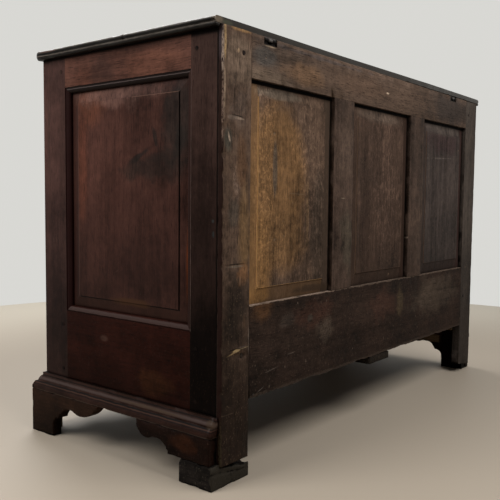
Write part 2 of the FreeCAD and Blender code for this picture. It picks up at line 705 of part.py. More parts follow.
def base_moulding_edges():
    """A square fillet, a shallow ovolo, a narrow ledge and a plain band that swells, from the top down."""
    top = MOULDING_TOP
    low = MOULDING_BOTTOM
    ovolo_head = V(0, MOULDING_FILLET, top - MOULDING_FILLET_DROP)
    ovolo_foot = V(0, MOULDING_OVOLO_FOOT, top - MOULDING_OVOLO_DROP)
    ovolo_middle = (ovolo_head + ovolo_foot) / 2 + V(0, MOULDING_OVOLO_BOW, MOULDING_OVOLO_BOW)
    band_head = V(0, MOULDING_BAND_PROUD, ovolo_foot.z - MOULDING_LEDGE_DROP)
    band_foot = V(0, PLINTH_PROUD, band_head.z - MOULDING_BAND_SWELL)
    return [line(V(0, 0, low), V(0, 0, top)),
            line(V(0, 0, top), V(0, MOULDING_FILLET, top)),
            line(V(0, MOULDING_FILLET, top), ovolo_head),
            arc(ovolo_head, ovolo_middle, ovolo_foot),
            line(ovolo_foot, band_head),
            line(band_head, band_foot),
            line(band_foot, V(0, PLINTH_PROUD, low)),
            line(V(0, PLINTH_PROUD, low), V(0, 0, low))]


def base_moulding_end():
    length = CARCASS_DEPTH + PLINTH_PROUD
    bar = profile_bar(base_moulding_edges(), 0, length)
    cut = mitred(bar, MOULDING_REAR_GAP, CARCASS_DEPTH, PLINTH_PROUD, False, True)
    return on_right_end(cut)


def base_moulding_front():
    reach = HALF + PLINTH_PROUD
    bar = profile_bar(base_moulding_edges(), -reach, reach)
    return on_front(mitred(bar, -HALF, HALF, PLINTH_PROUD, True, True))


def bracket_edges(reach, width):
    """The shaped outline of a bracket foot: plain foot, small cove, cusp, arch and lobe.

    It runs from the foot's outer corner along the chest, and up from the floor.
    """
    top = MOULDING_BOTTOM
    foot = V(width, 0, BRACKET_FOOT_RISE)
    turns = (BRACKET_CUSP, BRACKET_ARCH, BRACKET_LOBE)
    cusp, arch, lobe = [V(width + out, 0, up) for out, up in turns]
    lobe_middle = V((lobe.x + reach) / 2, 0, lobe.z)
    return [line(V(0, 0, 0), V(width, 0, 0)),
            line(V(width, 0, 0), foot),
            bowed(foot, cusp, BRACKET_COVE_BOW),
            bowed(cusp, arch, BRACKET_ARCH_BOW),
            bowed(arch, lobe, BRACKET_CROWN_BOW),
            arc(lobe, lobe_middle, V(reach, 0, top)),
            line(V(reach, 0, top), V(0, 0, top)),
            line(V(0, 0, top), V(0, 0, 0))]


def bracket(reach, width=FOOT_WIDTH):
    """A bracket board: u from its outer corner, standing out from the frame's face."""
    return outline_face(bracket_edges(reach, width)).extrude(V(0, PLINTH_PROUD, 0))


def flipped(shape, u):
    """The shape mirrored end for end and carried so that its corner comes to u."""
    moved = shape.mirror(V(0, 0, 0), V(1, 0, 0))
    moved.translate(V(u, 0, 0))
    return moved


def front_brackets():
    """The two mitred halves of the right front foot."""
    reach = FRONT_BRACKET_REACH
    on_end = flipped(bracket(reach), CARCASS_DEPTH + PLINTH_PROUD)
    on_end = mitred(on_end, CARCASS_DEPTH - reach, CARCASS_DEPTH, PLINTH_PROUD, False, True)
    across = bracket(reach, FRONT_FACE_FOOT_WIDTH)
    across.translate(V(-HALF - PLINTH_PROUD, 0, 0))
    across = mitred(across, -HALF, reach - HALF, PLINTH_PROUD, True, False)
    return solids([on_right_end(on_end), on_front(across)])


def rear_bracket():
    board = bracket(REAR_BRACKET_REACH, REAR_FOOT_WIDTH)
    board.translate(V(REAR_BRACKET_GAP, 0, 0))
    return on_right_end(board)


def foot_block():
    """The block under the right rear corner, where the foot's lower part is gone; the legs are let into it."""
    outer = HALF + PLINTH_PROUD
    inner = outer - FOOT_BLOCK_WIDTH
    rear = BACK - FOOT_BLOCK_REAR_GAP
    front = rear - FOOT_BLOCK_DEPTH
    whole = block(inner, outer, front, rear, 0, FOOT_BLOCK_HEIGHT)
    upright = [edge for edge in whole.Edges if edge.BoundBox.ZLength > FOOT_BLOCK_HEIGHT / 2]
    step = block(inner - 1, HALF, front - 1, rear + 1, LEG_ON_BLOCK, FOOT_BLOCK_HEIGHT + 1)
    return whole.makeChamfer(FOOT_BLOCK_CHAMFER, upright).cut(step)


def rear_bracket_on_block():
    """The right rear bracket, cut off level where it stands on the block."""
    lost = block(HALF, HALF + PLINTH_PROUD + 1, BACK - CARCASS_DEPTH, BACK + 1, -1, FOOT_BLOCK_HEIGHT)
    return rear_bracket().cut(lost)


def glue_blocks():
    """Softwood blocks in the angles between the brackets and the bottom rails, and in the front feet."""
    z0 = CARCASS_BOTTOM - GLUE_BLOCK_HEIGHT
    depth = GLUE_BLOCK_THICKNESS
    length = GLUE_BLOCK_LENGTH
    front_end = slab(POST_EDGE - GLUE_BLOCK_GAP - length, POST_EDGE - GLUE_BLOCK_GAP, 0, depth,
                     z0, CARCASS_BOTTOM)
    rear_end = slab(REAR_STILE_EDGE + GLUE_BLOCK_GAP, REAR_STILE_EDGE + GLUE_BLOCK_GAP + length, 0, depth,
                    z0, CARCASS_BOTTOM)
    across = slab(-POST_INNER + GLUE_BLOCK_GAP, -POST_INNER + GLUE_BLOCK_GAP + length, 0, depth,
                  z0, CARCASS_BOTTOM)
    corner = block(HALF - CORNER_BLOCK, HALF, FRONT, FRONT + CORNER_BLOCK, CORNER_BLOCK_GAP, CARCASS_BOTTOM)
    right = [on_right_end(front_end), on_right_end(rear_end), on_front(across), corner]
    return solids(right + [mirrored(one) for one in right])


# ---------------------------------------------------------------- the lid

def lid_ring(z, share):
    """The lid's outline at a height: flush at the back, overhanging by a share elsewhere."""
    x = HALF + share * LID_END_OVERHANG
    y = FRONT - share * LID_FRONT_OVERHANG
    return polygon([V(-x, BACK, z), V(x, BACK, z), V(x, y, z), V(-x, y, z)])


def edge_moulded(top, height, edge):
    """The lid's whole outline between two heights, its edge worked to a profile."""
    return Part.makeLoft([lid_ring(top - drop * height, share) for drop, share in edge], True, True)


def lid_blank():
    """The whole lid, its edge worked with a broad bead and a quirk below it."""
    return edge_moulded(LID_TOP, LID_THICKNESS, LID_EDGE)


def lid_strips():
    """The strips under the lid's overhang at the front and the ends, mitred together."""
    low = LID_UNDERSIDE - LID_STRIP_DROP
    x = HALF + LID_STRIP_CLEARANCE
    y = FRONT - LID_STRIP_CLEARANCE
    inside = block(-x, x, y, BACK + 1, low - 1, LID_UNDERSIDE + 1)
    whole = edge_moulded(LID_UNDERSIDE, LID_STRIP_DROP, STRIP_EDGE).cut(inside)
    out_x = HALF + 2 * LID_END_OVERHANG
    out_y = FRONT - 2 * LID_FRONT_OVERHANG
    front = prism([V(HALF, FRONT, low - 1), V(out_x, out_y, low - 1), V(-out_x, out_y, low - 1),
                   V(-HALF, FRONT, low - 1)], V(0, 0, LID_STRIP_DROP + 2))
    return solids([whole.common(front), whole.cut(front)])


def lid_board(y0, y1):
    reach = HALF + LID_END_OVERHANG + 1
    return lid_blank().common(block(-reach, reach, y0, y1, LID_UNDERSIDE - 1, LID_TOP + 1))


# ---------------------------------------------------------------- hinges

KNUCKLE = (HINGE_WIDTH - 2 * KNUCKLE_GAP) / 3


def barrel(x0, x1, radius):
    return Part.makeCylinder(radius, x1 - x0, V(x0, HINGE_Y, HINGE_Z), V(1, 0, 0))


def hinge_leaf(x):
    """The fixed half: two knuckles, a plate on the notch's floor and a tail down the rail."""
    left = x - HINGE_WIDTH / 2
    right = x + HINGE_WIDTH / 2
    floor = NOTCH_FLOOR
    plate = block(left, right, INNER_BACK - HINGE_PLATE, HINGE_Y, floor, floor + HINGE_PLATE)
    tail = block(left, right, INNER_BACK - HINGE_PLATE, INNER_BACK, floor - HINGE_LEAF_DROP, floor)
    pieces = [plate, tail]
    for x0, x1 in ((left, left + KNUCKLE), (right - KNUCKLE, right)):
        web = block(x0, x1, HINGE_Y - KNUCKLE_RADIUS, HINGE_Y - KNUCKLE_RADIUS + HINGE_PLATE, floor, HINGE_Z)
        pieces += [web, barrel(x0, x1, KNUCKLE_RADIUS)]
    return joined(pieces).cut(barrel(left - 1, right + 1, PIN_RADIUS))


def hinge_pin(x):
    return barrel(x - HINGE_WIDTH / 2, x + HINGE_WIDTH / 2, PIN_RADIUS)


def hinge_strap(x):
    """The moving half: the middle knuckle and a strap along the lid's underside."""
    left = x - HINGE_WIDTH / 2
    right = x + HINGE_WIDTH / 2
    x0 = left + KNUCKLE + KNUCKLE_GAP
    x1 = right - KNUCKLE - KNUCKLE_GAP
    plate = block(left, right, HINGE_Y - HINGE_STRAP_LENGTH, HINGE_Y, LID_UNDERSIDE - HINGE_PLATE,
                  LID_UNDERSIDE)
    web = block(x0, x1, HINGE_Y - KNUCKLE_RADIUS, HINGE_Y, HINGE_Z, LID_UNDERSIDE)
    whole = joined([plate, web, barrel(x0, x1, KNUCKLE_RADIUS)])
    return whole.cut(barrel(left - 1, right + 1, PIN_RADIUS + PIN_CLEARANCE))


def screw(point, direction):
    """A hinge screw whose head lies on the plate and whose shank runs along the direction."""
    shank = Part.makeCylinder(HINGE_SCREW_RADIUS, HINGE_SCREW_LENGTH, point, direction)
    start = point - direction * HINGE_SCREW_HEAD
    head = Part.makeCylinder(HINGE_SCREW_HEAD_RADIUS, HINGE_SCREW_HEAD, start, direction)
    return joined([shank, head])


def leaf_screws(x):
    """Two screws through the tail of a fixed leaf into the back rail."""
    y = INNER_BACK - HINGE_PLATE
    heights = [NOTCH_FLOOR - HINGE_LEAF_DROP * share for share in (0.35, 0.8)]
    return [screw(V(x, y, z), V(0, 1, 0)) for z in heights]


def strap_screws(x):
    """Three screws through a strap into the lid."""
    z = LID_UNDERSIDE - HINGE_PLATE
    inside = HINGE_STRAP_LENGTH - BACK_STOCK
    places = [INNER_BACK - inside * share for share in (0.15, 0.5, 0.85)]
    return [screw(V(x, y, z), V(0, 0, 1)) for y in places]


# ---------------------------------------------------------------- lock and key plates

def key_plate(x, y, z):
    """An upright oval-ended plate on a face at y, pierced for the key."""
    radius = KEY_PLATE_WIDTH / 2
    rise = KEY_PLATE_HEIGHT / 2 - radius
    face = y - KEY_PLATE_THICKNESS
    ends = [Part.makeCylinder(radius, KEY_PLATE_THICKNESS, V(x, face, z + side * rise), V(0, 1, 0))
            for side in (-1, 1)]
    middle = block(x - radius, x + radius, face, y, z - rise, z + rise)
    return joined([middle] + ends).cut(keyhole(x, face - 1, y + 1, z + KEYHOLE_DROP / 2))


def staple(x, spare):
    """One leg of the lid's staple, wider all round by spare."""
    y = INNER_FRONT + LOCK_THICKNESS / 2
    return block(x - STAPLE_WIDTH / 2 - spare, x + STAPLE_WIDTH / 2 + spare,
                 y - STAPLE_THICKNESS / 2 - spare, y + STAPLE_THICKNESS / 2 + spare,
                 LID_UNDERSIDE - STAPLE_LENGTH - spare, LID_UNDERSIDE)


def lock_case():
    case = block(-LOCK_WIDTH / 2, LOCK_WIDTH / 2, INNER_FRONT, INNER_FRONT + LOCK_THICKNESS,
                 LOCK_LOW, LOCK_LOW + LOCK_HEIGHT)
    slots = [staple(side * STAPLE_SPACING / 2, STAPLE_CLEARANCE) for side in (-1, 1)]
    return less(case, slots + [keyhole(0, INNER_FRONT - 1, INNER_FRONT + LOCK_THICKNESS / 2, LOCK_KEY_Z)])


def lock_keeper():
    """A plate let on under the lid with the staple that the lock's bolt goes through."""
    y = INNER_FRONT + LOCK_THICKNESS / 2
    plate = block(-KEEPER_WIDTH / 2, KEEPER_WIDTH / 2, y - KEEPER_DEPTH / 2 + LOCK_THICKNESS / 2,
                  y + KEEPER_DEPTH / 2 + LOCK_THICKNESS / 2, LID_UNDERSIDE - KEEPER_PLATE, LID_UNDERSIDE)
    legs = [staple(side * STAPLE_SPACING / 2, 0) for side in (-1, 1)]
    return joined([plate] + legs)


# ---------------------------------------------------------------- drawers

def drawer_front():
    """The right drawer's front, with a rounded lip that covers the edges of its opening."""
    body = block(DRAWER_INNER_X, DRAWER_OUTER_X, FRONT, DRAWER_FRONT_INNER, DRAWER_LOW,
                 MID_RAIL_BOTTOM - DRAWER_PLAY)
    out = DRAWER_LIP_OVERLAP + DRAWER_PLAY
    lip = block(DRAWER_INNER_X - out, DRAWER_OUTER_X + out, DRAWER_FACE, FRONT - DRAWER_LIP_GAP,
                DRAWER_SILL - DRAWER_LIP_OVERLAP, MID_RAIL_BOTTOM + DRAWER_LIP_OVERLAP)
    lip = lip.makeFillet(DRAWER_LIP_ROUND, [edge for edge in lip.Edges
                                            if abs(edge.BoundBox.YMax - DRAWER_FACE) < 0.01])
    neck = block(DRAWER_INNER_X, DRAWER_OUTER_X, FRONT - DRAWER_LIP_GAP, FRONT, DRAWER_LOW,
                 MID_RAIL_BOTTOM - DRAWER_PLAY)
    holes = [Part.makeCylinder(POST_RADIUS, DRAWER_FRONT_THICKNESS, V(x, DRAWER_FACE, HANDLE_Z), V(0, 1, 0))
             for x in post_places()]
    return less(joined([body, lip, neck]), holes + [drawer_bottom()])


def drawer_side(x0):
    side = block(x0, x0 + DRAWER_SIDE, DRAWER_FRONT_INNER, DRAWER_REAR, DRAWER_LOW, DRAWER_SIDE_TOP)
    return less(side, [drawer_bottom()])


def drawer_box():
    """The two sides and the back of the right drawer."""
    left = drawer_side(DRAWER_INNER_X)
    right = drawer_side(DRAWER_OUTER_X - DRAWER_SIDE)
    low = DRAWER_LOW + DRAWER_BOTTOM_RAISE + DRAWER_BOTTOM
    back = block(DRAWER_INNER_X + DRAWER_SIDE, DRAWER_OUTER_X - DRAWER_SIDE, DRAWER_REAR - DRAWER_SIDE,
                 DRAWER_REAR, low, DRAWER_SIDE_TOP - DRAWER_BACK_DROP)
    return solids([left, right, back])


def drawer_bottom():
    """The bottom board, held in grooves in the sides and the front, and nailed under the back."""
    low = DRAWER_LOW + DRAWER_BOTTOM_RAISE
    inset = DRAWER_SIDE - DRAWER_GROOVE
    return block(DRAWER_INNER_X + inset, DRAWER_OUTER_X - inset, DRAWER_FRONT_INNER - DRAWER_GROOVE,
                 DRAWER_REAR, low, low + DRAWER_BOTTOM)


def handle_middles():
    return [DRAWER_MIDDLE - HANDLE_SPREAD, DRAWER_MIDDLE + HANDLE_SPREAD]


def post_places():
    return [middle + side * POST_SPACING / 2 for middle in handle_middles() for side in (-1, 1)]


def handle_post(x):
    """A turned rose and post, bored across its head for the bail, with its shank through the front."""
    ball = HANDLE_Y + math.sqrt(POST_HEAD_RADIUS ** 2 - POST_RADIUS ** 2)
    rim = DRAWER_FACE - ROSE_THICKNESS
    end = DRAWER_FRONT_INNER + NUT_THICKNESS
    edges = [line(V(0, HANDLE_Y - POST_HEAD_RADIUS, 0), V(0, end, 0)),
             line(V(0, end, 0), V(POST_RADIUS, end, 0)),
             line(V(POST_RADIUS, end, 0), V(POST_RADIUS, DRAWER_FACE, 0)),
             line(V(POST_RADIUS, DRAWER_FACE, 0), V(ROSE_RADIUS, DRAWER_FACE, 0)),
             line(V(ROSE_RADIUS, DRAWER_FACE, 0), V(ROSE_RADIUS, rim, 0)),
             line(V(ROSE_RADIUS, rim, 0), V(POST_RADIUS, rim - ROSE_THICKNESS, 0)),
             line(V(POST_RADIUS, rim - ROSE_THICKNESS, 0), V(POST_RADIUS, ball, 0)),
             arc(V(POST_RADIUS, ball, 0), V(POST_HEAD_RADIUS, HANDLE_Y, 0),
                 V(0, HANDLE_Y - POST_HEAD_RADIUS, 0))]
    post = outline_face(edges).revolve(V(0, 0, 0), V(0, 1, 0), 360)
    post.translate(V(x, 0, HANDLE_Z))
    bore = Part.makeCylinder(BAIL_RADIUS + BAIL_CLEARANCE, 4 * POST_HEAD_RADIUS,
                             V(x - 2 * POST_HEAD_RADIUS, HANDLE_Y, HANDLE_Z), V(1, 0, 0))
    return post.cut(bore)


def handle_nut(x):
    half = NUT_SIDE / 2
    nut = block(x - half, x + half, DRAWER_FRONT_INNER, DRAWER_FRONT_INNER + NUT_THICKNESS,
                HANDLE_Z - half, HANDLE_Z + half)
    return nut.cut(Part.makeCylinder(POST_RADIUS, 2 * NUT_THICKNESS, V(x, DRAWER_FRONT_INNER, HANDLE_Z),
                                     V(0, 1, 0)))


def drawer_fittings(side):
    """The brass on the drawer at one side: four posts with their nuts, and the key plate."""
    places = [side * x for x in post_places()]
    plate = key_plate(side * DRAWER_MIDDLE, DRAWER_FACE, HANDLE_Z)
    return solids([handle_post(x) for x in places] + [handle_nut(x) for x in places] + [plate])


def rounded_path(points, radius):
    """A wire through the points with every inner corner rounded."""
    edges = []
    start = points[0]
    for before, corner, after in zip(points, points[1:], points[2:]):
        into = (corner - before).normalize()
        out = (after - corner).normalize()
        turn = into.getAngle(out)
        trim = radius * math.tan(turn / 2)
        begin = corner - into * trim
        end = corner + out * trim
        inward = (out - into).normalize()
        middle = corner + inward * (radius / math.cos(turn / 2) - radius)
        edges += [line(start, begin), arc(begin, middle, end)]
        start = end
    edges.append(line(start, points[-1]))
    return Part.Wire(edges)


def bail(middle):
    """A swan-neck bail hanging from two posts, its ends turned into their bores."""
    half = POST_SPACING / 2
    neck = half - BAIL_NECK
    right = [(half + POST_HEAD_RADIUS - 1, 0), (neck, 0), (neck, -BAIL_SHOULDER),
             (half - 1, -BAIL_BELLY_HEIGHT), (half - BAIL_GRIP_INSET, -BAIL_DROP)]
    left = [(-x, z) for x, z in reversed(right)]
    points = [V(middle + x, HANDLE_Y, HANDLE_Z + z) for x, z in right + left]
    path = rounded_path(points, BAIL_BEND)
    section = Part.Wire(Part.Circle(points[0], V(1, 0, 0), BAIL_RADIUS).toShape())
    return path.makePipeShell([section], True, False)


# ---------------------------------------------------------------- the whole chest

def bored(named, cutters):
    """Every named piece with the holes for its pegs and screws."""
    return {name: less(shape, cutters) for name, shape in named.items()}


def carcass():
    pegs = end_pegs() + [mirrored(one) for one in end_pegs()] + back_pegs() + front_pegs()
    screws = [one for x in HINGE_PLACES for one in leaf_screws(x)]
    pieces = {
        "front_post_right": front_post(),
        "front_post_left": mirrored(front_post()),
        "end_rear_stile_right": rear_stile(LEG_ON_BLOCK),
        "end_rear_stile_left": mirrored(rear_stile(0)),
        "end_top_rail_right": end_top_rail(),
        "end_top_rail_left": mirrored(end_top_rail()),
        "end_bottom_rail_right": end_bottom_rail(),
        "end_bottom_rail_left": mirrored(end_bottom_rail()),
        "back_stile_right": back_stile(BACK_RIGHT, HALF, LEG_ON_BLOCK),
        "back_stile_left": back_stile_left(),
        "back_top_rail": back_top_rail(),
        "back_bottom_rail": back_rail(BACK_BOTTOM),
        "back_muntins": solids([back_muntin(place) for place in BACK_MUNTINS]),
        "front_top_rail": front_top_rail(),
        "front_mid_rail": front_rail(FRONT_MID, front_muntin_feet() + divider_feet()),
        "front_bottom_rail": front_rail(FRONT_BOTTOM, divider_feet()),
        "front_muntins": solids([front_muntin(place) for place in FRONT_MUNTINS]),
        "drawer_divider": drawer_divider(),
        "hinge_leaves": solids([hinge_leaf(x) for x in HINGE_PLACES]),
    }
    pieces = bored(pieces, pegs + screws)
    pieces.update({
        "end_panel_right": end_panel(),
        "end_panel_left": mirrored(end_panel()),
        "back_panel_left": back_panel(BACK_OPENINGS[0]),
        "back_panel_middle": back_panel(BACK_OPENINGS[1]),
        "back_panel_right": back_panel(BACK_OPENINGS[2]),
        "front_panels": solids([front_panel(opening) for opening in FRONT_OPENINGS]),
        "frame_pegs": solids(pegs),
        "floor_boards": floor_boards(),
        "floor_ledges": floor_ledges(),
        "side_bearers": side_bearers(),
        "centre_bearer": centre_bearer(),
        "base_moulding_front": base_moulding_front(),
        "base_mouldings_end": solids([base_moulding_end(), mirrored(base_moulding_end())]),
        "front_foot_right": front_brackets(),
        "front_foot_left": mirrored(front_brackets()),
        "rear_foot_right": rear_bracket_on_block(),
        "rear_foot_left": mirrored(rear_bracket()),
        "foot_block": foot_block(),
        "glue_blocks": glue_blocks(),
        "hinge_pins": solids([hinge_pin(x) for x in HINGE_PLACES]),
        "hinge_screws_rail": solids(screws),
        "lock_case": lock_case(),
        "lock_key_plate": key_plate(0, FRONT, LOCK_KEY_Z - KEYHOLE_DROP / 2),
    })
    return pieces


def lid():
    screws = [one for x in HINGE_PLACES for one in strap_screws(x)]
    edge = FRONT - LID_FRONT_OVERHANG
    joint = edge + LID_FRONT_BOARD
    pieces = {
        "lid_board_front": lid_board(edge - 1, joint),
        "lid_board_rear": lid_board(joint, BACK),
        "lid_strips": lid_strips(),
        "hinge_straps": solids([hinge_strap(x) for x in HINGE_PLACES]),
    }
    pieces = bored(pieces, screws)
    pieces.update({
        "hinge_screws_lid": solids(screws),
        "lock_keeper": lock_keeper(),
    })
    return pieces


def drawer_pair():
    """Both drawers: the left one mirrors the right."""
    inner, outer = handle_middles()
    right = {
        "drawer_front": drawer_front(),
        "drawer_box": drawer_box(),
        "drawer_bottom": drawer_bottom(),
        "bail_inner": bail(inner),
        "bail_outer": bail(outer),
    }
    pieces = {"drawer_fittings_right": drawer_fittings(1), "drawer_fittings_left": drawer_fittings(-1)}
    for name, shape in right.items():
        pieces[name + "_right"] = shape
        pieces[name + "_left"] = mirrored(shape)
    return pieces


def main():
    os.makedirs("parts", exist_ok=True)
    for group in (carcass(), lid(), drawer_pair()):
        for name, shape in group.items():
            shape.exportStep("parts/" + name + ".step")


main()
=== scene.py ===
import math

import bmesh
import bpy
from mathutils import Matrix, Vector, noise


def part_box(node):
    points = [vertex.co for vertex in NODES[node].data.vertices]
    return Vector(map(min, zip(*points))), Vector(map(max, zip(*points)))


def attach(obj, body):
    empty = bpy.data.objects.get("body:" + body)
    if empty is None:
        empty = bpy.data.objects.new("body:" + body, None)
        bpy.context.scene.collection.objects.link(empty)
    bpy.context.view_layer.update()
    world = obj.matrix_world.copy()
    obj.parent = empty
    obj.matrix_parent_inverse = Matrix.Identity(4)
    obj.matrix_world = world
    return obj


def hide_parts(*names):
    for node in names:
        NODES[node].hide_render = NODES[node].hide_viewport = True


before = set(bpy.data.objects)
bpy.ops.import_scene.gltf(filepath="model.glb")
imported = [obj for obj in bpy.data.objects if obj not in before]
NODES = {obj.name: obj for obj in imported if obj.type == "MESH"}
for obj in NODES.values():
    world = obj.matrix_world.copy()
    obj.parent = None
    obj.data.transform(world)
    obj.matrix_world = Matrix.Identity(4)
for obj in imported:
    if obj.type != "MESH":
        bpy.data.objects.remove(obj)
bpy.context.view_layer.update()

# An old joined oak mule chest. Its ends, front and lid are polished dark, and its back was left dry. Metres.

MM = 0.001

# ---- what the frame gives

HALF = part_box("back_stile_right")[1].x
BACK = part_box("back_stile_right")[1].y
INNER_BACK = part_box("back_stile_right")[0].y
NEAR_STILE_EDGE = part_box("back_stile_right")[0].x
CARCASS_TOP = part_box("front_post_right")[1].z
LID_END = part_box("lid_board_rear")[1].x
LID_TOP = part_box("lid_board_rear")[1].z
LID_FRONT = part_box("lid_board_front")[0].y


# ---- shader nodes, wired by hand

def add(tree, kind, links=None, **settings):
    """A shader node with its settings, and each named or numbered input set or linked."""
    made = tree.nodes.new("ShaderNode" + kind)
    for name, value in settings.items():
        setattr(made, name, value)
    for key, value in (links or {}).items():
        socket = made.inputs[key]
        if isinstance(value, bpy.types.NodeSocket):
            tree.links.new(value, socket)
        else:
            socket.default_value = value
    return made


def maths(tree, operation, a, b=0.0, c=0.0, clamp=False):
    return add(tree, "Math", {0: a, 1: b, 2: c}, operation=operation, use_clamp=clamp).outputs[0]


def times(tree, a, b):
    return maths(tree, "MULTIPLY", a, b)


def times_plus(tree, a, b, c, clamp=False):
    """a times b, plus c."""
    return maths(tree, "MULTIPLY_ADD", a, b, c, clamp)


def vectors(tree, operation, a, b, output=0):
    return add(tree, "VectorMath", {0: a, 1: b}, operation=operation).outputs[output]


def scaled(tree, vector, factor):
    return add(tree, "VectorMath", {0: vector, 3: factor}, operation="SCALE").outputs[0]


def ramp(tree, value, low, high, to_low=0.0, to_high=1.0):
    """The value's stretch from low to high, smoothed and carried to new limits."""
    node = add(tree, "MapRange", {"Value": value, "From Min": low, "From Max": high, "To Min": to_low,
                                  "To Max": to_high}, interpolation_type="SMOOTHSTEP")
    return node.outputs["Result"]


def mixed(tree, factor, a, b, blend="MIX"):
    node = add(tree, "Mix", data_type="RGBA", blend_type=blend, clamp_factor=True)
    for index, value in ((0, factor), (6, a), (7, b)):
        if isinstance(value, bpy.types.NodeSocket):
            tree.links.new(value, node.inputs[index])
        else:
            node.inputs[index].default_value = value if index == 0 else (*value, 1)
    return node.outputs[2]


def mixed_value(tree, factor, a, b):
    return add(tree, "Mix", {0: factor, 2: a, 3: b}, data_type="FLOAT").outputs[0]


def stretched(tree, vector, scale, shift=(0, 0, 0)):
    return add(tree, "Mapping", {"Vector": vector, "Scale": scale, "Location": shift}).outputs[0]


def shifted(tree, vector, shift):
    return stretched(tree, vector, (1, 1, 1), shift)


def clouds(tree, vector, scale=1.0, detail=3.0, roughness=0.55, distortion=0.0):
    node = add(tree, "TexNoise", {"Vector": vector, "Scale": scale, "Detail": detail,
                                  "Roughness": roughness, "Distortion": distortion})
    return node.outputs["Fac"]


def new_group(name, inputs, outputs):
    """An empty node group that takes a vector and the named inputs, and puts out plain values."""
    tree = bpy.data.node_groups.new(name, "ShaderNodeTree")
    tree.interface.new_socket("Vector", in_out="INPUT", socket_type="NodeSocketVector")
    for label, default in inputs.items():
        kind = "NodeSocketVector" if isinstance(default, tuple) else "NodeSocketFloat"
        tree.interface.new_socket(label, in_out="INPUT", socket_type=kind).default_value = default
    for label in outputs:
        tree.interface.new_socket(label, in_out="OUTPUT", socket_type="NodeSocketFloat")
    return tree, tree.nodes.new("NodeGroupInput").outputs, tree.nodes.new("NodeGroupOutput").inputs


def use(tree, group, **values):
    """A group placed in a material: its outputs, by name."""
    return add(tree, "Group", values, node_tree=group).outputs


def new_material(name):
    """A material: itself, its tree, the inputs of its shader, and the place on the object."""
    made = bpy.data.materials.new(name)
    made.use_nodes = True
    tree = made.node_tree
    return made, tree, tree.nodes["Principled BSDF"].inputs, add(tree, "TexCoord").outputs["Object"]


def new_object(name, data):
    made = bpy.data.objects.new(name, data)
    bpy.context.collection.objects.link(made)
    return made


# ---- effects shared by the finishes

def oak_grain_group():
    """Oak with its grain along X: broad and narrow streaks, pores and the flecks of its rays.

    Broad and Streaks swing between -1 and 1, the others lie between 0 and 1.
    """
    tree, given, out = new_group("oak grain", {"Seed": 0.0, "Wander": 0.02, "Lean": 0.55},
                                 ("Broad", "Streaks", "Pores", "Rays", "Height"))
    shift = add(tree, "CombineXYZ", {axis: times(tree, given["Seed"], step)
                                     for axis, step in enumerate((3.1, 1.7, 0.9))}).outputs[0]
    place = vectors(tree, "ADD", given["Vector"], shift)
    drift = add(tree, "TexNoise", {"Vector": stretched(tree, place, (2.5, 6, 6)), "Scale": 1.0, "Detail": 2.0})
    sway = scaled(tree, vectors(tree, "SUBTRACT", drift.outputs["Color"], (0.5, 0.5, 0.5)), given["Wander"])
    fibre = vectors(tree, "ADD", place, sway)
    broad = clouds(tree, stretched(tree, fibre, (1.3, 17, 17)), 1.0, 4.0, 0.6)
    narrow = clouds(tree, stretched(tree, fibre, (4.5, 95, 95)), 1.0, 4.0, 0.7)
    fine = clouds(tree, stretched(tree, fibre, (12, 330, 330)), 1.0, 3.0, 0.7)
    pores = clouds(tree, stretched(tree, fibre, (45, 620, 620)), 1.0, 2.0, 0.5)
    tilt = add(tree, "CombineXYZ", {2: given["Lean"]}).outputs[0]
    skewed = add(tree, "VectorRotate", {"Vector": fibre, "Rotation": tilt}, rotation_type="EULER_XYZ").outputs[0]
    flecks = clouds(tree, stretched(tree, skewed, (42, 150, 150)), 1.0, 3.0, 0.6, 0.6)
    where = clouds(tree, stretched(tree, place, (3, 9, 9)), 1.0, 2.0)
    tree.links.new(ramp(tree, broad, 0.28, 0.72, -1.0, 1.0), out["Broad"])
    narrow_swing, fine_swing = (ramp(tree, value, 0.3, 0.7, -1.0, 1.0) for value in (narrow, fine))
    tree.links.new(times_plus(tree, narrow_swing, 0.6, times(tree, fine_swing, 0.4)), out["Streaks"])
    hollow = ramp(tree, pores, 0.56, 0.68)
    tree.links.new(hollow, out["Pores"])
    rays = times(tree, ramp(tree, flecks, 0.48, 0.62), ramp(tree, where, 0.34, 0.58))
    tree.links.new(rays, out["Rays"])
    height = times_plus(tree, narrow, 0.5, times(tree, hollow, -0.5))
    tree.links.new(times_plus(tree, fine, 0.4, height), out["Height"])
    return tree


def soft_patch_group():
    """A soft-edged patch round a place, with a ragged outline."""
    tree, given, out = new_group("soft patch", {"Centre": (0, 0, 0), "Size": (1, 1, 1), "Lean": (0, 0, 0),
                                                "Ragged": 0.3, "Soft": 0.5}, ("Mask",))
    away = vectors(tree, "SUBTRACT", given["Vector"], given["Centre"])
    leaning = add(tree, "VectorRotate", {"Vector": away, "Rotation": given["Lean"]},
                  rotation_type="EULER_XYZ").outputs[0]
    shrunk = vectors(tree, "DIVIDE", leaning, given["Size"])
    length = add(tree, "VectorMath", {0: shrunk}, operation="LENGTH").outputs["Value"]
    wobble = clouds(tree, given["Vector"], 22.0, 4.0, 0.65)
    ragged = times_plus(tree, maths(tree, "SUBTRACT", wobble, 0.5), times(tree, given["Ragged"], 4.0), length)
    inner = maths(tree, "SUBTRACT", 1.0, given["Soft"])
    fall = add(tree, "MapRange", {"Value": ragged, "From Min": inner, "From Max": 1.0, "To Min": 1.0,
                                  "To Max": 0.0}, interpolation_type="SMOOTHSTEP").outputs["Result"]
    tree.links.new(fall, out["Mask"])
    return tree


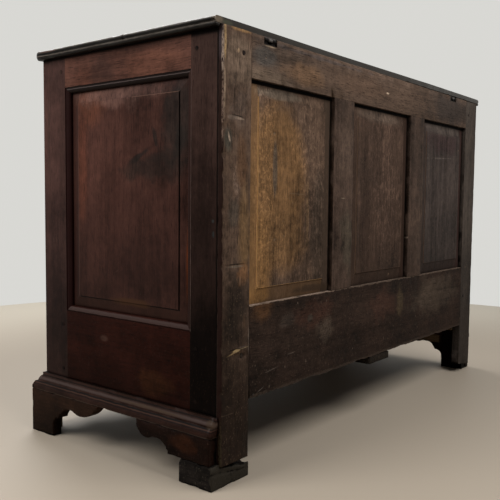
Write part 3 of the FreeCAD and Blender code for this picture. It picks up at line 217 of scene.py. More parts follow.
def worn_edge_group():
    """Where an arris is worn: the rounded normal against the flat one, broken up by a noise."""
    tree, given, out = new_group("worn edges", {"Reach": 0.002, "Broken": 0.5}, ("Mask",))
    rounded = add(tree, "Bevel", {"Radius": given["Reach"]}, samples=6).outputs[0]
    flat = add(tree, "NewGeometry").outputs["Normal"]
    alike = vectors(tree, "DOT_PRODUCT", rounded, flat, "Value")
    edge = ramp(tree, alike, 0.995, 0.86)
    breaks = clouds(tree, given["Vector"], 60.0, 4.0, 0.7)
    kept = ramp(tree, maths(tree, "SUBTRACT", breaks, times(tree, given["Broken"], 0.3)), 0.25, 0.5)
    tree.links.new(times(tree, edge, kept), out["Mask"])
    return tree


def grime_group():
    """Darkening in corners and against mouldings, from ambient occlusion: soil that settles there, and painted
    shade.
    """
    tree, given, out = new_group("grime", {"Reach": 0.02}, ("Mask",))
    open_sky = add(tree, "AmbientOcclusion", {"Distance": given["Reach"]}, samples=8).outputs["AO"]
    patchy = clouds(tree, given["Vector"], 30.0, 3.0, 0.6)
    dirty = times_plus(tree, maths(tree, "SUBTRACT", patchy, 0.5), 0.2, maths(tree, "SUBTRACT", 1.0, open_sky))
    tree.links.new(ramp(tree, dirty, 0.12, 0.6), out["Mask"])
    return tree


def knocks_group():
    """Small pale chips and fine scratches, a few to the hand's breadth."""
    tree, given, out = new_group("knocks", {"Amount": 0.5, "Seed": 0.0}, ("Chips", "Scratches"))
    place = vectors(tree, "ADD", given["Vector"], given["Seed"])
    sway = add(tree, "TexNoise", {"Vector": place, "Scale": 35.0}).outputs["Color"]
    warped = vectors(tree, "MULTIPLY", sway, (0.03, 0.03, 0.03))
    moved = vectors(tree, "ADD", place, warped)
    cells = add(tree, "TexVoronoi", {"Vector": moved, "Scale": 26.0, "Randomness": 1.0})
    chance = add(tree, "SeparateColor", {0: cells.outputs["Color"]}).outputs[0]
    rare = ramp(tree, times_plus(tree, given["Amount"], 0.35, chance), 0.93, 0.99)
    spot = ramp(tree, cells.outputs["Distance"], 0.12, 0.03)
    tree.links.new(times(tree, rare, spot), out["Chips"])
    turned = add(tree, "Mapping", {"Vector": place, "Rotation": (0.5, 0.9, 0.35), "Scale": (9, 170, 170)}).outputs[0]
    lines = clouds(tree, turned, 1.0, 2.0, 0.4)
    few = ramp(tree, clouds(tree, place, 14.0, 2.0), 0.55, 0.68)
    tree.links.new(times(tree, ramp(tree, lines, 0.7, 0.76), few), out["Scratches"])
    return tree


OAK_GRAIN = oak_grain_group()
SOFT_PATCH = soft_patch_group()
WORN_EDGES = worn_edge_group()
GRIME_AND_SHADE = grime_group()
KNOCKS = knocks_group()


# ---- finishes

# How each way of the grain is turned to lie along X: across the chest, from back to front, or upright
ALONG = {"x": (0, 0, 0), "y": (0, 0, math.pi / 2), "z": (0, math.pi / 2, 0)}
THROUGH = 0.2          # how deep a patch goes into a piece
# Near black: painted shadow under the lid, in recesses and steps and in the quirks of mouldings; also the dark of
# cracks and of the pegs' ends.
NEAR_BLACK = (0.0022, 0.0014, 0.001)


def patch(centre, size, colour, strength=0.8, ragged=0.25, soft=0.6, flecks=0.0, lean=0.0):
    """A stain or a worn place, and in a few places a painted highlight or shadow: where it is, how large, its colour
    and how strongly it shows.
    """
    return centre, size, colour, strength, ragged, soft, flecks, lean


def back_marks(*rows):
    """Patches on the back: from the right end, up, half width and half height in mm, and a patch's settings."""
    return [patch((HALF - w * MM, BACK, z * MM), (wide * MM, THROUGH, high * MM), *settings)
            for w, z, wide, high, *settings in rows]


def end_marks(*rows):
    """The same on the right end: from the back face, up, half width, half height, and the settings."""
    return [patch((HALF, BACK - d * MM, z * MM), (THROUGH, wide * MM, high * MM), *settings)
            for d, z, wide, high, *settings in rows]


def stripe(axis, low, high, colour, strength=1.0, fade=0.0006, ragged=0.0004, flecks=0.0, within=()):
    """A strip of a piece between two levels along one axis: mostly painted shadow and painted highlight along
    mouldings, steps and under the lid, also soil and worn edges.

    None leaves it open on that side, and within names the reach of it along other axes.
    """
    return axis, low, high, colour, strength, fade, ragged, flecks, within


def bands(axis, level, *rows, within=()):
    """Stripes in rows: from and to in mm off the level, then colour, strength, fade, ragged and flecks."""
    return [stripe(axis, *(None if end is None else level + end * MM for end in (low, high)), *settings,
                   within=within) for low, high, *settings in rows]


def span(tree, value, low, high, fade):
    """1 between the two levels and 0 beyond them, with a soft end at each."""
    rise = 1.0 if low is None else ramp(tree, value, low - fade, low + fade)
    fall = 1.0 if high is None else ramp(tree, value, high - fade, high + fade, 1.0, 0.0)
    return times(tree, rise, fall)


def striped(tree, place, across, speckle, shown, stripes):
    """The colour with the stripes laid over it."""
    for axis, low, high, colour, strength, fade, ragged, flecks, within in stripes:
        mask = span(tree, times_plus(tree, speckle, ragged, across[axis]), low, high, fade)
        for side, near, far in within:
            mask = times(tree, mask, span(tree, across[side], near, far, MM))
        mask = flecked(tree, place, mask, flecks)
        shown = mixed(tree, times(tree, mask, strength), shown, colour)
    return shown


def flecked(tree, place, mask, amount):
    """The mask broken into small upright splinters; the more the amount, the closer they stand."""
    if not amount:
        return mask
    fine = clouds(tree, stretched(tree, place, (520, 520, 150)), 1.0, 3.0, 0.6)
    return times(tree, mask, ramp(tree, fine, 0.64 - 0.25 * amount, 0.70 - 0.25 * amount))


def patched(tree, place, shown, patches):
    """The colour with the patches laid over it."""
    for centre, size, colour, strength, ragged, soft, flecks, lean in patches:
        on_the_end = size[0] == THROUGH
        mask = use(tree, SOFT_PATCH, Vector=place, Centre=centre, Size=size, Ragged=ragged, Soft=soft,
                   Lean=(lean, 0, 0) if on_the_end else (0, lean, 0))["Mask"]
        mask = flecked(tree, place, mask, flecks)
        shown = mixed(tree, times(tree, mask, strength), shown, colour)
    return shown


def oak(name, along, seed, colour, patches=(), *, rays, roughness, gloss, wear, wear_colour, grime, knocks, bump,
        streaks, blotch, mottle, specks, stripes=(), after=(), shade=(0.0, 0.8, 1.0), polish=0.0, lean=0.55,
        second_lean=None):
    """An oak finish for boards of one kind, with the stains and wear of their own places, and painted shade and
    highlights.

    shade gives how much darker the colour is painted near the floor, from a low and a high level: partly the wood's
    own darkening, partly painted shade.
    The patches lie in the wood and the stripes over them; the patches in after lie over all.
    """
    made, tree, surface, place = new_material(name)
    turned = add(tree, "Mapping", {"Vector": place, "Rotation": ALONG[along]}).outputs[0]
    grain = use(tree, OAK_GRAIN, Vector=turned, Seed=seed, Lean=lean)
    across = add(tree, "SeparateXYZ", {0: place}).outputs
    wide = clouds(tree, shifted(tree, place, (seed, seed * 0.7, seed * 1.3)), 6.0, 5.0, 0.62)
    small = clouds(tree, shifted(tree, place, (seed * 1.9, seed, seed * 0.4)), 60.0, 5.0, 0.7)
    even = ramp(tree, wide, 0.3, 0.7, -1.0, 1.0)
    speckle = ramp(tree, small, 0.3, 0.7, -1.0, 1.0)
    tone = times_plus(tree, grain["Streaks"], streaks, 1.0)
    tone = times_plus(tree, grain["Broad"], blotch * 0.8, tone)
    tone = times_plus(tree, even, blotch, tone)
    tone = maths(tree, "MAXIMUM", times_plus(tree, speckle, mottle, tone), 0.2)
    shown = add(tree, "RGB").outputs[0]
    shown.default_value = (*colour, 1)
    shown = scaled(tree, patched(tree, place, shown, patches), tone)
    flecks = grain["Rays"]
    if second_lean:
        crossing = use(tree, OAK_GRAIN, Vector=turned, Seed=seed + 2, Lean=second_lean[2])["Rays"]
        flecks = mixed_value(tree, ramp(tree, across["X"], second_lean[0], second_lean[1]), flecks, crossing)
    shown = scaled(tree, shown, times_plus(tree, flecks, rays * 1.3, 1.0 - rays * 0.3))
    shown = scaled(tree, shown, times_plus(tree, grain["Pores"], -0.5, 1.0))
    # Painted shade: the colour darker towards the floor, partly the wood's own darkening.
    low, high, least = shade
    if least < 1.0:
        uneven = times_plus(tree, even, 0.05, across["Z"])
        shown = scaled(tree, shown, ramp(tree, uneven, low, high, least, 1.0))
    marks = use(tree, KNOCKS, Vector=place, Amount=knocks, Seed=seed)
    shown = mixed(tree, times(tree, marks["Scratches"], min(1.0, knocks)), shown, wear_colour)
    edges = use(tree, WORN_EDGES, Vector=place, Reach=0.0022, Broken=0.9 - wear * 0.5)
    shown = mixed(tree, times(tree, edges["Mask"], wear), shown, wear_colour)
    dots = clouds(tree, stretched(tree, place, (330, 330, 230)), 1.0, 2.0, 0.6)
    shown = mixed(tree, ramp(tree, dots, 0.60, 0.74, 0.0, specks), shown, wear_colour)
    shown = scaled(tree, shown, ramp(tree, dots, 0.26, 0.42, 1.0 - specks * 0.7, 1.0))
    # Darker in corners and recesses, soil and painted shade together; rougher there, with less polish.
    dirt_and_shade = use(tree, GRIME_AND_SHADE, Vector=place, Reach=0.012)["Mask"]
    shown = scaled(tree, shown, times_plus(tree, dirt_and_shade, -grime, 1.0))
    shown = striped(tree, place, across, speckle, shown, stripes)
    shown = patched(tree, place, shown, after)
    shown = mixed(tree, times(tree, marks["Chips"], min(1.0, knocks * 2)), shown, wear_colour)
    tree.links.new(shown, surface["Base Color"])
    rough = ramp(tree, times_plus(tree, small, 0.3, times(tree, wide, 0.7)), 0.3, 0.7, *roughness)
    tree.links.new(times_plus(tree, dirt_and_shade, 0.2, rough, clamp=True), surface["Roughness"])
    surface["Specular IOR Level"].default_value = gloss
    if polish:
        polish_and_painted_light = times(tree, maths(tree, "SUBTRACT", 1.0, dirt_and_shade), ramp(tree, wide, 0.35, 0.65, polish * 0.5, polish))
        tree.links.new(polish_and_painted_light, surface["Coat Weight"])
        surface["Coat Roughness"].default_value = 0.3
    relief = times_plus(tree, marks["Chips"], -1.5, grain["Height"])
    relief = times_plus(tree, small, 0.8, relief)
    raised = add(tree, "Bump", {"Height": relief, "Strength": bump, "Distance": 0.0012}).outputs[0]
    tree.links.new(raised, surface["Normal"])
    return made


def metal(name, colour, dull, roughness=(0.3, 0.6)):
    """Old brass or iron: bright where it is handled, dull and spotted elsewhere."""
    made, tree, surface, place = new_material(name)
    spots = clouds(tree, place, 60.0, 5.0, 0.65)
    fine = clouds(tree, place, 540.0, 3.0, 0.6)
    dirt_and_shade = use(tree, GRIME_AND_SHADE, Vector=place, Reach=0.006)["Mask"]
    tarnish = maths(tree, "ADD", ramp(tree, spots, 0.42, 0.66), times(tree, dirt_and_shade, 0.8), clamp=True)
    tree.links.new(mixed(tree, tarnish, colour, dull), surface["Base Color"])
    tree.links.new(ramp(tree, tarnish, 0.0, 1.0, *roughness), surface["Roughness"])
    tree.links.new(ramp(tree, tarnish, 0.2, 1.0, 1.0, 0.55), surface["Metallic"])
    relief = times_plus(tree, fine, 0.4, spots)
    raised = add(tree, "Bump", {"Height": relief, "Strength": 0.15, "Distance": 0.0006}).outputs[0]
    tree.links.new(raised, surface["Normal"])
    return made


DRY = {"rays": 0.12, "roughness": (0.62, 0.9), "gloss": 0.045, "wear": 0.3, "wear_colour": (0.17, 0.115, 0.075),
       "grime": 0.7, "knocks": 0.3, "bump": 0.6, "streaks": 0.36, "blotch": 0.32, "mottle": 0.2, "specks": 0.35}
POLISHED = {"rays": 0.08, "roughness": (0.34, 0.5), "gloss": 0.03, "wear": 0.12, "wear_colour": (0.10, 0.06, 0.045),
            "grime": 0.9, "knocks": 0.06, "bump": 0.14, "streaks": 0.26, "blotch": 0.28, "mottle": 0.15,
            "specks": 0.12, "shade": (0.08, 0.72, 0.2)}
FINISHES = {}          # the finish of each piece, by its node's name


def dry(node, *given, **more):
    """A piece in oak that was never polished, grey-brown with age."""
    FINISHES[node] = oak(node.replace("_", " "), *given, **{**DRY, **more})


def polished(node, *given, **more):
    """A piece in oak under centuries of dark polish."""
    FINISHES[node] = oak(node.replace("_", " "), *given, **{**POLISHED, **more})


# ---- giving each piece its finish

OVOLO = 0.012          # the width of the moulding round an end panel


def field_of(node):
    """The lowest and highest corners of a panel's raised field."""
    low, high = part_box(node)
    thin = 0 if (high - low).x < (high - low).y else 1
    places = [vert.co for vert in NODES[node].data.vertices]
    face = max(abs(place[thin]) for place in places)
    raised = [place for place in places if abs(place[thin]) > face - 0.0002]
    return (Vector(min(place[i] for place in raised) for i in range(3)),
            Vector(max(place[i] for place in raised) for i in range(3)))


def back_panel_stripes(node, bevel, foot, near, polish_and_painted_light):
    """A back panel's bevels painted in the shade that the light gives each side, a painted lighter line over the
    field's step at its near side and foot to offset the step's shadow, and painted black shadow along the far step,
    under the top rail and by the far edge where the panel goes into its grooves.
    """
    low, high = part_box(node)
    field_low, field_high = field_of(node)
    upright = [("Z", field_low.z - 0.001, field_high.z)]
    level = [("X", field_low.x, field_high.x + 0.001)]
    return [*bands("X", field_high.x, (1, None, near, 0.4)),
            *bands("Z", field_low.z, (None, -1, foot, 0.55), within=level),
            *bands("X", field_low.x, (None, -0.5, bevel, 0.8), (-1.5, 0, NEAR_BLACK, 0.6)),
            *bands("X", field_high.x, (-0.3, 0.9, polish_and_painted_light, 0.9, 0.0003, 0.0002), within=upright),
            *bands("Z", field_low.z, (-0.9, 0.3, polish_and_painted_light, 0.4, 0.0003, 0.0002), within=level),
            *bands("Z", high.z, (-15.5, None, NEAR_BLACK, 1.0, 0.001)),
            *bands("X", low.x, (None, 12, NEAR_BLACK, 0.9))]


def end_panel_stripes(side):
    """The margin before the field in painted shade and the one below it darker, painted black shadow in the corner
    of the field's step below and behind it, and painted highlights on the step's front edge and along its top.
    """
    low, high = field_of("end_panel_" + side)
    upright = [("Z", low.z - 0.003, high.z + 0.001)]
    level = [("Y", low.y, high.y + 0.002)]
    behind_top = [("Y", high.y - 0.13, high.y)]
    return [*bands("Y", low.y, (None, 0, (0.018, 0.008, 0.0065), 0.6)),
            *bands("Z", low.z, (None, 0, (0.024, 0.0105, 0.0075), 0.5)),
            *bands("Y", high.y, (-0.2, 1.8, NEAR_BLACK, 0.95), within=upright),
            *bands("Z", low.z, (-2.4, 0, NEAR_BLACK, 0.9), within=level),
            *bands("Y", low.y, (0, 1.2, (0.11, 0.065, 0.052), 0.5), within=upright),
            *bands("Z", high.z, (-1, 0.6, (0.15, 0.085, 0.062), 0.7), within=behind_top)]


# Rows of marks: from the right end (or from the back face), up, half width and half height in millimetres,
# then the colour, its strength, how ragged and how soft the outline is, its flecks and its lean.

NEAR_STILE_MARKS = back_marks(
    (45, 779, 60, 60, (0.165, 0.113, 0.079)),
    (14, 632, 16, 30, (0.06, 0.054, 0.042)),
    (40, 560, 14, 45, (0.2, 0.135, 0.1), 0.6, 0.4, 0.6, 0.7),
    (62, 470, 24, 120, (0.135, 0.078, 0.036)),
    (30, 505, 22, 40, (0.07, 0.054, 0.042), 0.7),
    (54, 600, 22, 60, (0.11, 0.058, 0.032)),
    (48, 700, 34, 40, (0.115, 0.08, 0.062), 0.5, 0.8),
    (40, 330, 40, 110, (0.024, 0.018, 0.014), 0.6, 0.5),
    (60, 395, 22, 30, (0.15, 0.072, 0.034), 0.7, 0.6),
    (38, 411, 34, 1.6, NEAR_BLACK, 0.8, 0.12, 0.5),
    (38, 407, 30, 3, (0.13, 0.1, 0.075), 0.7, 0.2, 0.5),
    (40, 680, 24, 1.0, NEAR_BLACK, 0.85, 0.3, 0.5, 0, 0.06),
    (42, 676, 22, 2.6, (0.26, 0.19, 0.14), 0.9, 0.4, 0.6, 1.4, 0.06),
    (24, 676, 16, 5, (0.15, 0.11, 0.085), 0.7, 0.5, 0.6, 1.2),
    (17, 640, 3, 12, (0.38, 0.28, 0.21), 0.9, 0.2, 0.5, 0, -0.3),
    (44, 247, 30, 9, (0.06, 0.03, 0.013), 0.6, 0.5),
    # The chip low on the stile: a painted shadow in near black above its pale broken wood.
    (36, 253, 26, 2.0, NEAR_BLACK, 0.7, 0.3, 0.5),
    (43, 250, 15, 4.0, (0.6, 0.42, 0.21), 1.0, 0.5, 0.5, 0, -0.06),
    (29, 246, 22, 2.2, (0.4, 0.27, 0.14), 0.9, 0.5, 0.5, 0, -0.2),
    (58, 252, 26, 1.3, (0.36, 0.27, 0.16), 0.8, 0.5, 0.5, 0, -0.06),
    (58, 255, 16, 1.5, (0.16, 0.12, 0.1), 0.8, 0.3, 0.5),
    (51, 379, 3.5, 11, (0.2, 0.115, 0.07), 0.8, 0.3, 0.5),
    (79.5, 274, 3.0, 32, (0.3, 0.235, 0.19), 0.9, 0.7, 0.5),
    (64, 300, 6, 18, (0.085, 0.05, 0.03), 0.6, 0.3, 0.5, 1.2),
    (23, 69, 3, 5, (0.12, 0.1, 0.055), 0.8, 0.3),
    (41, 796, 4.0, 5.0, (0.27, 0.18, 0.11), 1.0, 0.03, 0.4),
    (52, 834, 40, 6, (0.24, 0.135, 0.06), 0.9, 0.3, 0.6, 1.1),
    (4.5, 806, 4.5, 42, (0.4, 0.26, 0.13), 0.9, 0.25, 0.6, 1.2),
    (3, 720, 4, 60, (0.27, 0.19, 0.13), 0.8, 0.3, 0.6, 1.0))
TOP_RAIL_MARKS = back_marks(
    (190, 790, 140, 50, (0.096, 0.067, 0.05), 0.6, 0.4),
    (118, 799, 52, 24, (0.076, 0.066, 0.058)),
    (130, 762, 80, 18, (0.125, 0.088, 0.062)),
    (256, 784, 95, 30, (0.15, 0.086, 0.049)),
    (480, 792, 170, 30, (0.098, 0.061, 0.042)),
    (618, 793, 9, 2.5, (0.42, 0.31, 0.22), 1.0, 0.05, 0.3),
    (138, 819, 22, 1.6, (0.3, 0.22, 0.15), 0.9, 0.1, 0.4),
    (300, 826, 260, 5, (0.07, 0.055, 0.05), 0.6, 0.4),
    (1010, 795, 190, 60, (0.038, 0.03, 0.026)))
BOTTOM_RAIL_MARKS = back_marks(
    (119, 315, 45, 30, (0.062, 0.03, 0.014)),
    (300, 290, 90, 40, (0.04, 0.019, 0.013), 0.7, 0.5),
    (620, 270, 90, 50, (0.04, 0.02, 0.014), 0.7, 0.5),
    (930, 270, 190, 70, (0.05, 0.036, 0.026), 0.8, 0.4),
    (348, 245, 45, 35, (0.06, 0.044, 0.032), 0.8, 0.5, 0.6, 0.9),
    (712, 272, 22, 45, (0.065, 0.045, 0.026), 0.8, 0.5),
    (151, 194, 28, 1.2, (0.12, 0.095, 0.078), 0.8, 0.3, 0.5, 0, -0.11),
    (217, 216, 19, 1.0, (0.12, 0.095, 0.078), 0.6, 0.3, 0.5, 0, -0.05),
    (118, 162, 15, 1.4, (0.15, 0.12, 0.1), 0.8, 0.3, 0.5, 0, -0.32),
    (146, 162, 1.2, 4, (0.22, 0.17, 0.12), 0.8, 0.3, 0.5),
    (94, 157, 3, 3, (0.12, 0.1, 0.085), 0.8, 0.3),
    (206, 286, 30, 22, (0.042, 0.031, 0.024), 0.6, 0.6),
    (288, 280, 16, 12, (0.05, 0.042, 0.033), 0.6, 0.6))
MUNTIN_MARKS = back_marks(
    (515, 536, 10, 3, (0.2, 0.14, 0.1)),
    (414, 535, 12, 1.6, (0.2, 0.15, 0.11)),
    (440, 640, 60, 90, (0.075, 0.05, 0.037), 0.6, 0.5),
    (728, 630, 3.2, 4, (0.3, 0.225, 0.175), 0.9, 0.2),
    (747, 553, 3.2, 4, (0.3, 0.225, 0.175), 0.9, 0.2),
    (748, 435, 3.2, 4, (0.3, 0.225, 0.175), 0.9, 0.2),
    (440, 440, 50, 80, (0.052, 0.042, 0.03), 0.7, 0.5))
NEAR_PANEL_MARKS = back_marks(
    (170, 560, 120, 190, (0.175, 0.094, 0.042), 1.0, 0.1, 0.4),
    (110, 420, 70, 120, (0.205, 0.108, 0.044), 1.0, 0.12),
    (205, 440, 90, 70, (0.15, 0.082, 0.038), 0.9, 0.15),
    (110, 345, 60, 22, (0.235, 0.12, 0.04), 0.9, 0.2),
    (328, 450, 42, 170, (0.056, 0.038, 0.027), 0.8, 0.2, 0.35),
    (280, 500, 7, 90, (0.21, 0.125, 0.065), 0.6, 0.2),
    (163, 590, 10, 65, (0.092, 0.07, 0.052), 0.8, 0.1, 0.4),
    (170, 735, 110, 14, (0.12, 0.092, 0.068)))
FAR_PANEL_MARKS = back_marks(
    (985, 700, 150, 48, (0.05, 0.028, 0.027), 0.6, 0.3),
    (971, 654, 105, 2.6, (0.15, 0.12, 0.105), 0.6, 0.9, 0.6, 0, -0.04),
    (980, 735, 150, 22, (0.085, 0.067, 0.056)))
STAIN = (0.012, 0.0105, 0.009)
END_PANEL_MARKS = end_marks(
    (372, 727, 70, 60, (0.105, 0.038, 0.022)),
    (400, 600, 24, 170, (0.088, 0.03, 0.018)),
    (300, 500, 60, 120, (0.045, 0.018, 0.013), 0.6, 0.4),
    (290, 742, 160, 38, (0.16, 0.084, 0.066), 0.7, 0.4),
    (114, 680, 60, 115, (0.023, 0.017, 0.014)),
    (170, 588, 100, 42, (0.025, 0.0168, 0.0138), 0.7, 0.5),
    (225, 612, 62, 9, STAIN, 0.8, 0.45, 0.6, 0, -0.44),
    (250, 585, 34, 30, (0.026, 0.0155, 0.012), 0.6, 0.5),
    (178, 648, 8, 40, STAIN, 0.7, 0.5, 0.6, 0, -0.3),
    (145, 610, 50, 26, (0.022, 0.016, 0.013), 0.6, 0.5),
    (112, 640, 16, 30, STAIN, 0.6, 0.5),
    (150, 700, 10, 40, STAIN, 0.5, 0.5, 0.6, 0, 0.3),
    (91, 400, 9, 100, (0.15, 0.036, 0.01), 0.95, 0.15),
    (210, 400, 130, 90, (0.03, 0.0125, 0.0095), 0.5))
END_TOP_RAIL_MARKS = end_marks(
    (180, 788, 110, 34, (0.142, 0.058, 0.037)),
    (370, 776, 70, 40, (0.085, 0.032, 0.02), 0.7),
    (330, 790, 50, 50, (0.045, 0.022, 0.017), 0.6))
END_BOTTOM_RAIL_MARKS = end_marks(
    (172, 166, 62, 36, (0.05, 0.017, 0.007)),
    (325, 237, 17, 9, (0.06, 0.03, 0.022), 0.8, 0.2))
NAIL_MARKS = end_marks(
    (23, 490, 4, 4, (0.06, 0.062, 0.06)),
    (22, 466, 4, 7, (0.05, 0.056, 0.055), 0.7))


def back_finishes():
    shade = (0.12, 0.62, 0.5)
    rail_foot, ledge = (corner.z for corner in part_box("back_bottom_rail"))
    strip = [*bands("X", HALF, (-1.6, None, (0.014, 0.006, 0.0045), 0.95)),
             *bands("Y", BACK, (None, -10.8, (0.06, 0.04, 0.033), 0.5, 0.0006, 0.0002))]
    splinters = [patch((HALF, BACK - inwards, level), (0.004, deep, high), *settings)
                 for inwards, level, deep, high, *settings in (
                     (0.006, 0.806, 0.009, 0.04, (0.052, 0.04, 0.043), 0.7, 0.15),
                     (0.002, 0.79, 0.0045, 0.06, (0.34, 0.25, 0.19), 0.8, 0.2, 0.6, 0.9),
                     (0.002, 0.69, 0.0035, 0.08, (0.24, 0.16, 0.12), 0.7, 0.2, 0.6, 0.8),
                     (0.003, 0.07, 0.006, 0.07, (0.05, 0.038, 0.022), 0.8, 0.3, 0.6, 0.9))]
    dry("back_stile_right", "z", 1.0, (0.088, 0.055, 0.038), NEAR_STILE_MARKS, stripes=strip, after=splinters,
        knocks=0.8, wear=0.25, streaks=0.28, blotch=0.26, mottle=0.3, grime=0.5, shade=(0.14, 0.46, 0.22))
    dry("back_stile_left", "z", 2.0, (0.056, 0.044, 0.036), shade=shade)
    dry("back_top_rail", "x", 13.0, (0.08, 0.052, 0.037), TOP_RAIL_MARKS, wear=0.4, streaks=0.34, blotch=0.26)
    # The rail's top edge pale: worn, and a painted highlight where the light falls on it; its foot pale and ragged.
    edges = [*bands("Z", ledge, (-1.4, None, (0.25, 0.18, 0.135), 0.9, 0.0006, 0.001, 1.3),
                    within=[("X", HALF - 0.385, HALF - 0.08)]),
             *bands("Z", ledge, (-1.8, None, (0.16, 0.115, 0.085), 0.7, 0.0006, 0.0015, 1.0),
                    within=[("X", None, HALF - 0.39)]),
             *bands("Z", rail_foot, (None, 6, (0.055, 0.04, 0.03), 0.6, 0.0006, 0.003, 1.0))]
    dry("back_bottom_rail", "x", 4.0, (0.0235, 0.0145, 0.0106), BOTTOM_RAIL_MARKS, stripes=edges, knocks=0.9,
        wear=0.5, wear_colour=(0.085, 0.06, 0.045), shade=(0.05, 0.3, 0.7), streaks=0.22, blotch=0.42, mottle=0.3,
        specks=0.7)
    dry("back_muntins", "z", 5.0, (0.06, 0.039, 0.029), MUNTIN_MARKS, shade=shade, wear=0.25, mottle=0.3,
        blotch=0.4, grime=0.4)
    # Each panel's far bevel, foot and near bevel in the shades the light gives them, then the painted lighter line
    # over its step.
    bevels = back_panel_stripes("back_panel_right", (0.045, 0.03, 0.021), (0.11, 0.06, 0.028),
                                (0.23, 0.125, 0.055), (0.75, 0.45, 0.2))
    dry("back_panel_right", "z", 6.0, (0.09, 0.056, 0.038), NEAR_PANEL_MARKS, stripes=bevels,
        after=back_marks((315, 342, 95, 12, (0.04, 0.025, 0.016), 0.8, 0.3)), rays=0.42, streaks=0.32, mottle=0.28,
        shade=(0.2, 0.5, 0.85), grime=0.15, wear=0.0, second_lean=(HALF - 0.185, HALF - 0.145, 1.45))
    bevels = back_panel_stripes("back_panel_middle", (0.024, 0.013, 0.009), (0.034, 0.021, 0.015),
                                (0.046, 0.028, 0.02), (0.17, 0.11, 0.075))
    dry("back_panel_middle", "z", 7.0, (0.066, 0.0405, 0.029), back_marks((600, 735, 150, 22, (0.1, 0.07, 0.052))),
        stripes=bevels, rays=0.45, shade=shade, lean=-0.4, grime=0.5, wear=0.15)
    bevels = back_panel_stripes("back_panel_left", (0.03, 0.014, 0.011), (0.021, 0.012, 0.009),
                                (0.036, 0.024, 0.019), (0.12, 0.08, 0.06))
    dry("back_panel_left", "z", 8.0, (0.058, 0.044, 0.038), FAR_PANEL_MARKS, stripes=bevels, shade=shade,
        grime=0.5, wear=0.15)
    edges = bands("Y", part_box("foot_block")[1].y, (-4, None, (0.03, 0.0255, 0.0185), 0.7, 0.0006, 0.004, 1.6))
    dry("foot_block", "y", 9.0, (0.0135, 0.0105, 0.0088), stripes=edges, knocks=0.8, wear=0.5,
        wear_colour=(0.09, 0.075, 0.055), blotch=0.5, mottle=0.4, specks=0.6)


def end_finishes(side, seed):
    """The ends' finishes; the stains and glows on the right one are its own."""
    panel, top, low, nails = END_PANEL_MARKS, END_TOP_RAIL_MARKS, END_BOTTOM_RAIL_MARKS, NAIL_MARKS
    foot_glow = end_marks((75, 75, 50, 18, (0.027, 0.009, 0.004), 0.8, 0.5))
    if side == "left":
        panel, top, low, nails, foot_glow = panel[:2], top[1:], (), (), ()
    sight_low, sight_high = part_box("end_rear_stile_" + side)[0].y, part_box("front_post_" + side)[1].y
    foot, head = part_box("end_bottom_rail_" + side)[1].z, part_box("end_top_rail_" + side)[0].z
    opening = [("Z", foot - OVOLO, head + OVOLO)]
    across = [("Y", sight_high - OVOLO, sight_low + OVOLO)]
    # Painted shadow under the lid's overhang.
    painted_lid_shadow = bands("Z", CARCASS_TOP, (-8, None, NEAR_BLACK, 0.95, 0.002))
    # On the top rail: painted shade on the ovolo that faces down, and a painted highlight along its arris.
    edges = painted_lid_shadow + [*bands("Z", head, (None, 12, (0.007, 0.0045, 0.004), 0.95)),
                   *bands("Z", head, (6.5, 8.2, (0.115, 0.09, 0.085), 0.6), within=across)]
    polished("end_top_rail_" + side, "y", seed + 11.0, (0.09, 0.038, 0.026), top, polish=0.06, stripes=edges)
    # On the bottom rail: painted black in the ovolo's quirk and a painted highlight on the ovolo that faces up.
    edges = bands("Z", foot, (-12.8, -11.4, NEAR_BLACK, 0.7), (-10.5, -2.5, (0.058, 0.038, 0.034), 0.85), within=across)
    polished("end_bottom_rail_" + side, "y", seed + 12.0, (0.021, 0.0052, 0.0032), low, gloss=0.02, polish=0.03,
             stripes=edges, shade=(0.08, 0.4, 0.6))
    # On the rear stile: painted shadow under the lid, black along its back edge, the ovolo by the opening darker,
    # and a painted highlight on its arris.
    edges = [*bands("Z", CARCASS_TOP, (-13, None, NEAR_BLACK, 0.95, 0.003)),
             *bands("Y", BACK, (-15, None, NEAR_BLACK, 0.85, 0.001)),
             *bands("Y", sight_low, (None, 11.2, (0.024, 0.011, 0.009), 0.8),
                    (11.2, 12.6, (0.14, 0.1, 0.085), 0.75), within=opening)]
    polished("end_rear_stile_" + side, "z", seed + 13.0, (0.037, 0.02, 0.0158), nails, stripes=edges,
             shade=(0.25, 0.75, 0.065), gloss=0.02)
    # On the front post: painted shadow under the lid and painted shade on the ovolo by the opening.
    edges = painted_lid_shadow + bands("Y", sight_high, (-13, None, (0.01, 0.0022, 0.0018), 0.95), within=opening)
    polished("front_post_" + side, "z", seed + 14.0, (0.055, 0.026, 0.021), shade=(0.15, 0.65, 0.36), polish=0.06,
             stripes=edges)
    polished("end_panel_" + side, "z", seed + 15.0, (0.06, 0.0245, 0.0178), panel, shade=(0.22, 0.72, 0.42),
             polish=0.05, grime=0.6, stripes=end_panel_stripes(side),
             after=end_marks((250, 320, 75, 12, (0.05, 0.022, 0.01))))
    bracket = {"shade": (0, 0.1, 0.6), "wear": 0.3, "specks": 0.3}
    polished("front_foot_" + side, "y", seed + 16.0, (0.019, 0.0088, 0.0052), **bracket)
    polished("rear_foot_" + side, "y", seed + 17.0, (0.0085, 0.0036, 0.0024), foot_glow, **bracket)


def front_finishes():
    for seed, name in enumerate(("front_top_rail", "front_mid_rail", "front_bottom_rail", "front_muntins",
                                 "front_panels", "drawer_divider", "drawer_front_right", "drawer_front_left")):
        along = "z" if name in ("front_muntins", "front_panels", "drawer_divider") else "x"
        polished(name, along, seed + 21.0, (0.072, 0.03, 0.019), shade=(0.05, 0.7, 0.55), polish=0.2)


